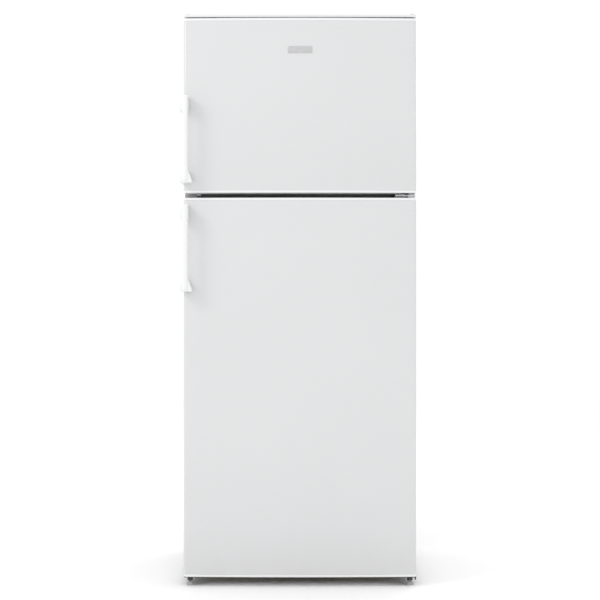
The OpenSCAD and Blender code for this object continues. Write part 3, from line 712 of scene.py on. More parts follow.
def soft_copy(node: str, material: bpy.types.Material, width: float = 0.0008, segments: int = 2) -> Bench:
    """Stand a copy with rounded edges in for a CAD node.

    Args:
        node: the CAD node.
        material: the copy's material.
        width: how far the rounding reaches.
        segments: how many faces it has.

    Returns:
        A bench that holds the piece.
    """
    bench = Bench.copy_of(node).soften(width, segments)
    return bench.finish(body_of(node), slot_of(node), material, [node])


def islands(node: str) -> list[tuple[Vector, Vector]]:
    """Give the box of each loose piece in a CAD node.

    Args:
        node: the CAD node.

    Returns:
        Pairs of lowest and highest corners, sorted by place.
    """
    mesh = bmesh.new()
    mesh.from_mesh(frame["nodes"][node].data)
    bmesh.ops.remove_doubles(mesh, verts=mesh.verts, dist=MERGE)
    waiting, boxes = set(mesh.verts), []
    while waiting:
        front, seen = [waiting.pop()], []
        while front:
            vert = front.pop()
            seen.append(vert.co.copy())
            for edge in vert.link_edges:
                other = edge.other_vert(vert)
                if other in waiting:
                    waiting.remove(other)
                    front.append(other)
        boxes.append((Vector(map(min, zip(*seen))), Vector(map(max, zip(*seen)))))
    mesh.free()
    return sorted(boxes, key=lambda box: tuple(round(value, 4) for value in box[0]))


def middle(low: Vector, high: Vector) -> Vector:
    """Give the middle of a box."""
    return (low + high) / 2


def open_box(name: str, low: Sequence[float], high: Sequence[float], wall: float, corner: float, foot: float,
             way: Sequence[float] = (0, 0, 1)) -> Bench:
    """Model a thin-walled box that is open on one side, with rounded corners.

    Args:
        name: the piece's name.
        low: its lowest corner.
        high: its highest corner.
        wall: its wall's thickness, inside the box given.
        corner: the radius of the edges that run towards the open side.
        foot: the radius round the closed end.
        way: the direction of the open side.

    Returns:
        A bench that holds it.
    """
    way = Vector(way)
    bench = Bench.block(name, low, high)
    bench.open()
    bench.pick(Kind.EDGE, lambda c, d: abs(d.dot(way)) > PARALLEL)
    bench.bevel(corner, 6)
    bench.round_rim(lambda c, n: n.dot(way) < -PARALLEL, foot, 5)
    bench.pick(Kind.FACE, lambda c, n: n.dot(way) > PARALLEL)
    bpy.ops.mesh.delete(type="FACE")
    bench.close()
    return bench.modifier("SOLIDIFY", thickness=wall, offset=-1.0, use_even_offset=True)


# ---------------------------------------------------------------- doors


@dataclass
class DoorLeaf:
    """One door: skin, end caps, bushes, gasket, inner liner, racks and foam."""

    name: str
    finishes: Finishes
    columns: int = 28
    crown: float = 8 * MM
    corner: float = 8 * MM
    seam: float = 0.15 * MM
    sheet: float = 1.0 * MM
    rack_wall: float = 2.5 * MM
    rack_corner: float = 13 * MM
    rack_foot: float = 7 * MM
    well_rim: float = 7 * MM
    well_depth: float = 2.2 * MM
    cap_round: float = 0.7 * MM
    bush_radius: float = 7.5 * MM
    bore_radius: float = 4.05 * MM
    lip_inset: float = 2.6 * MM
    groove_depth: float = 3 * MM
    gasket_round: float = 1.1 * MM
    liner_round: float = 3.5 * MM
    low: Vector = field(init=False)
    high: Vector = field(init=False)

    def __post_init__(self) -> None:
        """Read the door's box from the frame."""
        self.low, self.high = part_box(f"{self.name}_caps")
        self.body = self.name
        self.half = self.high.x
        self.edge_y = self.low.y + self.crown
        self.skin_low, self.skin_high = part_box(f"{self.name}_skin")

    def _ends(self) -> tuple[tuple[str, float, float, int], ...]:
        """Give each end cap's name, its bottom, its top and the way it faces."""
        cap = self.skin_low.z - self.low.z
        return ("bottom", self.low.z, self.low.z + cap, -1), ("top", self.high.z - cap, self.high.z, 1)

    def _crown_at(self, x: float) -> float:
        """Give how far the front stands ahead of the door's edges at x."""
        radius = (self.half ** 2 / self.crown + self.crown) / 2
        return math.sqrt(radius ** 2 - x * x) - (radius - self.crown)

    def _crowned(self, name: str, z0: float, z1: float) -> Bench:
        """Model a slab with the door's plan: a crowned front and rounded vertical edges.

        Args:
            name: the piece's name.
            z0: its bottom.
            z1: its top.

        Returns:
            A bench that holds it.
        """
        bench = Bench.block(name, (-self.half, self.edge_y, z0), (self.half, self.high.y, z1))
        bench.open()
        bench.pick(Kind.EDGE, lambda c, d: abs(d.x) > PARALLEL)
        bpy.ops.mesh.subdivide(number_cuts=self.columns - 1)
        for i in range(1, self.columns):
            x = self.half * (2 * i / self.columns - 1)
            bench.pick(Kind.VERT, lambda c, n: abs(c.x - x) < NEAR and c.y < self.edge_y + NEAR)
            bench.move((0, -self._crown_at(x), 0))
        bench.round_edges(lambda c, d: abs(d.z) > PARALLEL and abs(c.x) > self.half - NEAR and
                          c.y < self.edge_y + NEAR, self.corner, 7)
        return bench.close()

    def skin(self) -> None:
        """Model the painted steel skin as a folded sheet."""
        bench = self._crowned(f"{self.name}_skin_piece", self.skin_low.z + self.seam,
                              self.skin_high.z - self.seam)
        bench.open()
        bench.pick(Kind.FACE, lambda c, n: abs(n.z) > PARALLEL or n.y > PARALLEL)
        bpy.ops.mesh.delete(type="FACE")
        bench.close()
        bench.modifier("SOLIDIFY", thickness=self.sheet, offset=-1.0, use_even_offset=True)
        bench.soften(0.3 * MM, 2, 60)
        bench.finish(self.body, "white_steel", self.finishes.get(WHITE_ENAMEL), [f"{self.name}_skin"])

    def caps(self) -> None:
        """Model the plastic end caps, each with a shallow well in its outer face."""
        made = []
        for place, z0, z1, way in self._ends():
            bench = self._crowned(f"{self.name}_cap_{place}", z0, z1)
            bench.open()
            bench.pick(Kind.FACE, lambda c, n: n.z * way > PARALLEL)
            bench.inset(self.well_rim)
            bench.extrude((0, 0, -way * self.well_depth))
            bench.close()
            made.append(bench.soften(self.cap_round, 3))
        for bench in made:
            bench.finish(self.body, "white_plastic", self.finishes.get(WHITE_MOULDED))
        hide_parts(f"{self.name}_caps")

    def hinge_bushes(self, hinge: Vector) -> None:
        """Model the flanged bushes that the hinge pins turn in.

        Args:
            hinge: a point on the hinge axis.
        """
        for place, z0, z1, _ in self._ends():
            outer = Bench.rod(f"{self.name}_bush_{place}", (hinge.x, hinge.y, z0), (hinge.x, hinge.y, z1),
                              self.bush_radius)
            hole = Bench.rod("bore", (hinge.x, hinge.y, z0 - OVERSHOOT), (hinge.x, hinge.y, z1 + OVERSHOOT),
                             self.bore_radius)
            outer.cut([hole]).soften(0.4 * MM)
            outer.finish(self.body, "grey_plastic", self.finishes.get(GREY_MOULDED))

    def gasket(self) -> None:
        """Model the magnetic gasket with its bellows groove."""
        bench = Bench.copy_of(f"{self.name}_gasket")
        low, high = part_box(f"{self.name}_gasket")
        bench.open()
        bench.pick(Kind.FACE, lambda c, n: abs(n.y) < 0.5 and
                   (abs(abs(c.x) - high.x) < NEAR or abs(c.z - low.z) < NEAR or abs(c.z - high.z) < NEAR))
        bench.inset(self.lip_inset)
        bench.pick(Kind.FACE, lambda c, n: abs(n.y) < 0.5 and abs(c.y - (low.y + high.y) / 2) < 0.5 * MM and
                   (abs(abs(c.x) - high.x) < NEAR or abs(c.z - low.z) < NEAR or abs(c.z - high.z) < NEAR))
        bpy.ops.transform.shrink_fatten(value=-self.groove_depth)
        bench.close()
        bench.soften(self.gasket_round, 3)
        bench.finish(self.body, "gasket_vinyl", self.finishes.get(GASKET), [f"{self.name}_gasket"])

    def liner(self) -> None:
        """Stand a copy with rounded dykes in for the formed inner liner."""
        soft_copy(f"{self.name}_liner", self.finishes.get(LINER_WHITE), self.liner_round, 4)

    def racks(self) -> None:
        """Model the clear racks with rounded corners."""
        node = f"{self.name}_racks"
        made = [open_box(f"{node}_piece", low, high, self.rack_wall, self.rack_corner, self.rack_foot)
                for low, high in islands(node)]
        for bench in made:
            bench.soften(0.4 * MM, 2, 50)
        made[0].join(made[1:])
        made[0].finish(self.body, slot_of(node), self.finishes.get(CLEAR_MOULDED), [node])

    def foam(self) -> None:
        """Dress the insulation between the skin and the liner."""
        dress(f"{self.name}_foam", self.finishes.get(FOAM))

    def build(self, hinge: Vector) -> None:
        """Build every piece of the door.

        Args:
            hinge: a point on the hinge axis.
        """
        self.skin()
        self.caps()
        self.gasket()
        self.liner()
        self.racks()
        self.hinge_bushes(hinge)
        self.foam()


@dataclass
class Handle:
    """A moulded handle: a slim bar between two blocks that wrap round the door's edge."""

    node: str
    finishes: Finishes
    voxel: float = 0.9 * MM
    blend_steps: int = 30
    kept_share: float = 0.35

    def build(self) -> Bench:
        """Blend the handle's blocks into one soft moulding.

        Returns:
            A bench that holds it.
        """
        bench = Bench.copy_of(self.node)
        bench.modifier("REMESH", mode="VOXEL", voxel_size=self.voxel)
        bench.modifier("SMOOTH", factor=0.5, iterations=self.blend_steps)
        bench.modifier("DECIMATE", ratio=self.kept_share)
        return bench.finish(body_of(self.node), "white_plastic", self.finishes.get(WHITE_MOULDED),
                            [self.node])


# ---------------------------------------------------------------- cabinet


@dataclass
class Liner:
    """One formed plastic liner: a thin tub with rounded corners, open to the front."""

    node: str
    finishes: Finishes
    wall: float = 2 * MM
    corner: float = 14 * MM
    step_round: float = 5 * MM
    ledge_width: float = 9 * MM
    ledge_height: float = 8 * MM
    ledge_round: float = 1.8 * MM
    front_reach: float = 10 * MM

    @staticmethod
    def _profile(name: str, low: Vector, high: Vector, step: tuple[float, float] | None) -> Bench:
        """Model a solid block, less the corner that the machine bay takes.

        Args:
            name: the piece's name.
            low: its lowest corner.
            high: its highest corner.
            step: the depth and the height of the machine bay's corner, if there is one.

        Returns:
            A bench that holds it.
        """
        if not step:
            return Bench.block(name, low, high)
        depth, rise = step
        bench = Bench.block(name, low, (high.x, depth, rise))
        bench.open()
        bench.pick(Kind.FACE, lambda c, n: n.z > PARALLEL)
        bench.extrude((0, 0, high.z - rise))
        bench.pick(Kind.FACE, lambda c, n: n.y > PARALLEL and c.z > rise)
        bench.extrude((0, high.y - depth, 0))
        bpy.ops.mesh.select_all(action="SELECT")
        bpy.ops.mesh.dissolve_limited(angle_limit=math.radians(1))
        return bench.close()

    def _ledges(self, tops: Sequence[float], front: float) -> list[Bench]:
        """Model the pairs of ledges that shelves rest on.

        Args:
            tops: the height of each pair.
            front: where they start.

        Returns:
            The benches that hold them.
        """
        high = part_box(self.node)[1]
        inner = high.x - self.wall
        ledges = []
        for top in tops:
            for side in (-1, 1):
                x0, x1 = sorted((side * (inner - self.ledge_width), side * (inner + self.wall / 2)))
                ledge = Bench.block("ledge", (x0, front, top - self.ledge_height),
                                    (x1, high.y - self.wall, top))
                ledges.append(ledge.soften(self.ledge_round, 4))
        return ledges

    def build(self, step: tuple[float, float] | None = None, tops: Sequence[float] = (),
              front: float = 0.0) -> Bench:
        """Model the tub, with the step over the machine bay and the shelf ledges.

        Args:
            step: the depth and the height of the machine bay's corner, if the tub goes round it.
            tops: the height of each pair of shelf ledges.
            front: where the ledges start.

        Returns:
            A bench that holds it.
        """
        low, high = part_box(self.node)
        wall = Vector((self.wall, self.wall, self.wall))
        inside_low, inside_high = low + wall, high - wall
        inside_low.y = low.y - self.front_reach
        inside_step = (step[0] - self.wall, step[1] + self.wall) if step else None
        plug = self._profile("plug", inside_low, inside_high, inside_step)
        plug.open()
        if inside_step:
            depth, rise = inside_step
            reach = self.step_round + 1 * MM
            plug.round_edges(lambda c, d: abs(d.x) > PARALLEL and abs(c.y - depth) < NEAR and
                             abs(c.z - rise) < NEAR, self.step_round, 4)
            plug.pick(Kind.EDGE, lambda c, d: c.y > inside_low.y + NEAR and not
                      (abs(d.x) > PARALLEL and abs(c.y - depth) < reach and abs(c.z - rise) < reach))
        else:
            plug.pick(Kind.EDGE, lambda c, d: c.y > inside_low.y + NEAR)
        plug.bevel(self.corner, 6)
        plug.close()
        bench = self._profile(f"{self.node}_piece", low, high, step).cut([plug]).soften(0.4 * MM, 2, 60)
        ledges = self._ledges(tops, front)
        if ledges:
            bench.join(ledges)
        return bench.finish("cabinet", "liner_white", self.finishes.get(LINER_WHITE), [self.node])


@dataclass
class Cabinet:
    """The steel case, its cover, its back, its liners and the rails between the doors."""

    finishes: Finishes
    rib_count: int = 7
    rib_width: float = 26 * MM
    rib_rise: float = 1.5 * MM
    step_lift: float = 28 * MM
    bay_wall: float = 50 * MM
    rib_margin: float = 35 * MM
    seal_height: float = 5 * MM
    seal_depth: float = 2 * MM
    slab: float = 7.5 * MM
    slab_corner: float = 6 * MM
    slab_edge: float = 3 * MM
    skirt_back: float = 1 * MM
    border: float = 14 * MM
    groove: tuple[float, float] = (1.2 * MM, 0.6 * MM)

    def case(self) -> None:
        """Stand softened copies in for the wrapper and the frame pieces."""
        soft_copy("outer_wrapper", self.finishes.get(WHITE_ENAMEL), 0.45 * MM, 2)
        self._rail()
        soft_copy("blanking_plate", self.finishes.get(PLUG_GREY), 0.8 * MM, 3)
        dress("cabinet_foam", self.finishes.get(FOAM))

    def _rail(self) -> None:
        """Model the rail between the doors with the raised seal along its middle."""
        rail = Bench.copy_of("cross_rail").soften(1.0 * MM, 3)
        plate_low, plate_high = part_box("blanking_plate")
        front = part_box("cross_rail")[0].y
        z = middle(plate_low, plate_high).z
        seal = Bench.block("seal", (plate_high.x, front - self.seal_depth, z - self.seal_height / 2),
                           (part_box("middle_hinge")[0].x, front + self.seal_depth, z + self.seal_height / 2))
        rail.join([seal.soften(1.2 * MM, 3)])
        # the rail and its seal take the dark grey that paints the shade in the gap between the doors
        rail.finish("cabinet", slot_of("cross_rail"), self.finishes.get(RAIL_PAINTED_SHADE), ["cross_rail"])

    def bay_top(self) -> float:
        """Give the height of the machine bay's ceiling."""
        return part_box("crisper_cover")[1].z + self.step_lift - self.bay_wall

    def back(self) -> None:
        """Model the galvanised back with its pressed stiffening ribs."""
        low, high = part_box("back_panel")
        bench = Bench.copy_of("back_panel").soften(0.3 * MM, 2)
        ceiling = self.bay_top()
        pitch = (high.z - ceiling) / (self.rib_count + 1)
        brackets = islands("condenser_brackets")
        ribs = []
        for i in range(self.rib_count):
            z = ceiling + (i + 1) * pitch
            if any(a.z - self.rib_width < z < b.z + self.rib_width for a, b in brackets):
                continue
            rib = Bench.block("rib", (low.x + self.rib_margin, high.y - 0.5 * MM, z - self.rib_width / 2),
                              (high.x - self.rib_margin, high.y + self.rib_rise, z + self.rib_width / 2))
            rib.open()
            rib.round_edges(lambda c, d: abs(d.y) > PARALLEL, self.rib_width * 0.45, 6)
            rib.round_rim(lambda c, n: n.y > PARALLEL, self.rib_rise * 0.95, 4)
            ribs.append(rib.close())
        bench.join(ribs)
        bench.finish("cabinet", "zinc_steel", self.finishes.get(ZINC_SHEET), ["back_panel"])

    def worktop(self) -> None:
        """Model the moulded top: a thin slab with a rounded front over a narrower skirt."""
        low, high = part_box("top_cover")
        slab_low = high.z - self.slab
        skirt = Bench.block("skirt", (low.x + self.skirt_back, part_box("outer_wrapper")[0].y + 3 * MM, low.z),
                            (high.x - self.skirt_back, high.y, slab_low + 1 * MM))
        bench = Bench.block("top_cover_piece", (low.x, low.y, slab_low), high)
        bench.open()
        bench.round_edges(lambda c, d: abs(d.z) > PARALLEL, self.slab_corner, 6)
        bench.round_rim(lambda c, n: n.z > PARALLEL, self.slab_edge, 5)
        bench.pick(Kind.FACE, lambda c, n: n.z > PARALLEL)
        bench.inset(self.border)
        bench.inset(self.groove[0], -self.groove[1])
        bench.round_rim(lambda c, n: n.z < -PARALLEL, 0.8 * MM, 3)
        bench.close()
        bench.join([skirt.soften(0.5 * MM)])
        bench.finish("cabinet", "white_plastic", self.finishes.get(COVER_MOULDED), ["top_cover"])

    def liners(self) -> None:
        """Model both compartments' liners."""
        Liner("freezer_liner", self.finishes).build()
        cover_low, cover_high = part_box("crisper_cover")
        shelves = islands("fridge_shelves")
        bay_front = cover_high.y + 4 * MM
        step = (bay_front, self.bay_top() + self.bay_wall - 2 * MM)
        Liner("fridge_liner", self.finishes).build(step, [low.z for low, _ in shelves], cover_low.y)

    def build(self) -> None:
        """Build every piece of the cabinet."""
        self.case()
        self.back()
        self.worktop()
        self.liners()


@dataclass
class Hinges:
    """Hinge plates, pins, cap and screws."""

    finishes: Finishes
    dome: float = 1.6 * MM
    recess: float = 1.1 * MM
    shaft: float = 2.15 * MM
    head: float = 4.2 * MM
    head_height: float = 2.0 * MM
    arm: float = 0.45 * MM

    def plates(self) -> None:
        """Stand softened plates in for the hinges, and a rounded cap for the upper one."""
        soft_copy("top_hinge", self.finishes.get(BRIGHT_STEEL), 0.8 * MM, 3)
        soft_copy("middle_hinge", self.finishes.get(BRIGHT_STEEL), 0.7 * MM, 3)
        soft_copy("bottom_hinge", self.finishes.get(BLACK_ENAMEL), 0.7 * MM, 3)
        soft_copy("top_hinge_cover", self.finishes.get(WHITE_MOULDED), 2.0 * MM, 4)

    def screws(self) -> None:
        """Model each screw with a domed head and a cross recess."""
        made = []
        for i, (low, high) in enumerate(islands("hinge_screws")):
            size = high - low
            axis = max(range(3), key=lambda k: size[k])
            along = Vector((0, 0, 0))
            along[axis] = 1.0
            centre = middle(low, high)
            radius = min(size[k] for k in range(3) if k != axis) / 2
            head_at_low = axis == 1 or centre.z < 0.5
            outward = -along if head_at_low else along
            tip = centre - outward * size[axis] / 2
            face = centre + outward * size[axis] / 2
            head_radius = radius if radius < 3 * MM else self.head
            shaft = Bench.rod(f"screw_{i}", tip, face - outward * 1.2 * MM, self.shaft, 24)
            head = Bench.rod("head", face - outward * self.head_height, face, head_radius, 32)
            head.open()
            head.round_rim(lambda c, n: n.dot(outward) > PARALLEL, min(self.dome, head_radius * 0.5), 5)
            head.close()
            arms = []
            for k in range(3):
                if k == axis:
                    continue
                reach = Vector((self.arm, self.arm, self.arm))
                reach[k] = head_radius * 0.62
                reach[axis] = self.recess
                arms.append(Bench.block("arm", face - reach, face + reach))
            made.append(shaft.join([head.cut(arms)]))
        made[0].join(made[1:])
        made[0].obj.name = "hinge_screws_piece"
        made[0].finish("cabinet", "bright_steel", self.finishes.get(BRIGHT_STEEL), ["hinge_screws"])

    def build(self) -> None:
        """Build every hinge piece."""
        self.plates()
        self.screws()


# ---------------------------------------------------------------- cold circuit


@dataclass
class Compressor:
    """The domed compressor on its rubber mounts, with its relay."""

    finishes: Finishes
    shell: float = 72.5 * MM
    seam: float = 74 * MM
    seam_share: float = 0.42
    seam_half: float = 3 * MM
    plate: float = 3 * MM
    plate_corner: float = 12 * MM
    foot_round: float = 14 * MM
    bore: float = 5 * MM
    mount_radius: float = 9 * MM
    mount_height: float = 12 * MM
    mount_waist: float = 0.78
    collar: float = 4.9 * MM

    def build(self) -> None:
        """Build the shell, the seam, the plate, the mounts and the relay."""
        low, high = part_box("compressor")
        centre = middle(low, high)
        plate_top = low.z + self.plate
        mounts = islands("compressor_mounts")
        dome = Bench.rod("compressor_piece", (centre.x, centre.y, plate_top), (centre.x, centre.y, high.z),
                         self.shell, 72)
        dome.open()
        dome.round_rim(lambda c, n: n.z > PARALLEL, self.shell * 0.5, 10)
        dome.round_rim(lambda c, n: n.z < -PARALLEL, self.foot_round, 6)
        dome.close()
        waist = plate_top + (high.z - plate_top) * self.seam_share
        flange = Bench.rod("flange", (centre.x, centre.y, waist - self.seam_half),
                           (centre.x, centre.y, waist + self.seam_half), self.seam, 72)
        flange.soften(1.1 * MM, 3)
        depth = abs(mounts[0][0].y - centre.y)
        plate = Bench.block("plate", (low.x, centre.y - depth, low.z), (high.x, centre.y + depth, plate_top))
        plate.round_along(ALONG_Z, self.plate_corner, 6)
        bores = [Bench.rod("bore", (*middle(a, b).xy, low.z - OVERSHOOT),
                           (*middle(a, b).xy, plate_top + OVERSHOOT), self.bore) for a, b in mounts]
        plate.cut(bores).soften(0.7 * MM, 2)
        dome.join([flange, plate])
        dome.finish("cabinet", "black_steel", self.finishes.get(BLACK_ENAMEL), ["compressor"])
        self._mounts(mounts)
        soft_copy("compressor_relay", self.finishes.get(BLACK_MOULDED), 2.5 * MM, 3)

    def _mounts(self, mounts: Sequence[tuple[Vector, Vector]]) -> None:
        """Model the waisted rubber mounts, each with a steel sleeve's rim.

        Args:
            mounts: each mount's box.
        """
        made = []
        for low, high in mounts:
            x, y = middle(low, high).xy
            body = Bench.rod("compressor_mounts_piece", (x, y, low.z), (x, y, low.z + self.mount_height),
                             self.mount_radius, 32)
            body.open()
            for share in (0.33, 0.5, 0.67):
                bpy.ops.mesh.select_all(action="SELECT")
                bpy.ops.mesh.bisect(plane_co=(x, y, low.z + self.mount_height * share), plane_no=(0, 0, 1))
            middle_z = low.z + self.mount_height / 2
            body.pick(Kind.VERT, lambda c, n: abs(c.z - middle_z) < 0.5 * MM)
            bpy.ops.transform.resize(value=(self.mount_waist, self.mount_waist, 1),
                                     center_override=(x, y, middle_z))
            body.close().soften(0.8 * MM, 2)
            collar = Bench.rod("collar", (x, y, low.z + self.mount_height - 1 * MM), (x, y, high.z),
                               self.collar, 28).soften(0.8 * MM)
            made.append(body.join([collar]))
        made[0].join(made[1:])
        made[0].finish("cabinet", "black_rubber", self.finishes.get(RUBBER), ["compressor_mounts"])


@dataclass
class ColdCircuit:
    """Condenser, pipes, drier, drain pan and power inlet at the back."""

    finishes: Finishes
    wires: int = 58
    wire: float = 0.8 * MM
    can_ends: tuple[float, float] = (20 * MM, 110 * MM)
    neck: float = 3 * MM
    pan_wall: float = 2.5 * MM
    pan_corner: float = 16 * MM
    pan_foot: float = 8 * MM
    lip: float = 4 * MM
    lip_height: float = 3 * MM

    def condenser(self) -> None:
        """Dress the tube and lay its welded wires over both faces."""
        dress("condenser_coil", self.finishes.get(COIL_BLACK))
        soft_copy("condenser_brackets", self.finishes.get(BLACK_MOULDED), 1.2 * MM, 3)
        low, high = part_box("condenser_wires")
        step = (high.x - low.x - 2 * self.wire) / (self.wires - 1)
        made = []
        for y in (low.y + self.wire, high.y - self.wire):
            first = Bench.rod("condenser_wires_piece", (low.x + self.wire, y, low.z),
                              (low.x + self.wire, y, high.z), self.wire, 6)
            made.append(first)
            made.extend(first.shifted((i * step, 0, 0), "wire") for i in range(1, self.wires))
            for z in (low.z + 3 * MM, high.z - 3 * MM):
                made.append(Bench.rod("crossbar", (low.x, y, z), (high.x, y, z), self.wire * 1.4, 10))
        made[0].join(made[1:])
        made[0].finish("cabinet", "black_steel", self.finishes.get(COIL_BLACK), ["condenser_wires"])

    def drier(self) -> None:
        """Model the filter drier: a spun copper can with necked ends on its pipe."""
        low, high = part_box("filter_drier")
        x, y = middle(low, high).xy
        radius = (high.x - low.x) / 2
        can = Bench.rod("filter_drier_piece", (x, y, low.z + self.can_ends[0]),
                        (x, y, low.z + self.can_ends[1]), radius, 40)
        can.open()
        can.round_rim(lambda c, n: abs(n.z) > PARALLEL, radius * 0.62, 7)
        can.close()
        neck = Bench.rod("neck", (x, y, low.z), (x, y, high.z), self.neck, 28)
        can.join([neck])
        can.finish("cabinet", "copper", self.finishes.get(COPPER), ["filter_drier"])
        dress("refrigerant_pipes", self.finishes.get(COPPER))

    def drain(self) -> None:
        """Model the evaporation pan with its rolled lip and dress the drain tube."""
        low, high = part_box("drain_pan")
        pan = open_box("drain_pan_piece", low, high, self.pan_wall, self.pan_corner, self.pan_foot)
        lip = Bench.block("lip", (low.x, low.y, high.z - self.lip_height), high)
        lip.round_along(ALONG_Z, self.pan_corner, 6)
        reach = Vector((self.lip, self.lip, -2 * OVERSHOOT))
        hole = Bench.block("hole", (low.x + reach.x, low.y + reach.y, high.z + reach.z), high - reach)
        hole.round_along(ALONG_Z, self.pan_corner - self.lip, 6)
        pan.join([lip.cut([hole]).soften(0.8 * MM, 2)])
        pan.finish("cabinet", "black_plastic", self.finishes.get(BLACK_MOULDED), ["drain_pan"])
        dress("drain_tube", self.finishes.get(GREY_MOULDED))

    def power(self) -> None:
        """Stand a softened gland in for the power inlet."""
        soft_copy("mains_inlet", self.finishes.get(BLACK_MOULDED), 1.0 * MM, 3)

    def build(self) -> None:
        """Build the whole circuit."""
        Compressor(self.finishes).build()
        self.condenser()
        self.drier()
        self.drain()
        self.power()


# ---------------------------------------------------------------- compartments


@dataclass
class FreezerFittings:
    """Evaporator, its cover, the fan and the shelf."""

    finishes: Finishes

    def build(self) -> None:
        """Build the freezer's fittings."""
        dress("evaporator", self.finishes.get(FIN_METAL))
        dress("fan_motor", self.finishes.get(BLACK_MOULDED))
        soft_copy("evaporator_fan", self.finishes.get(GREY_MOULDED), 0.5 * MM, 2)
        soft_copy("evaporator_cover", self.finishes.get(LINER_WHITE), 0.9 * MM, 3)
        soft_copy("freezer_shelf", self.finishes.get(WHITE_MOULDED), 1.1 * MM, 3)


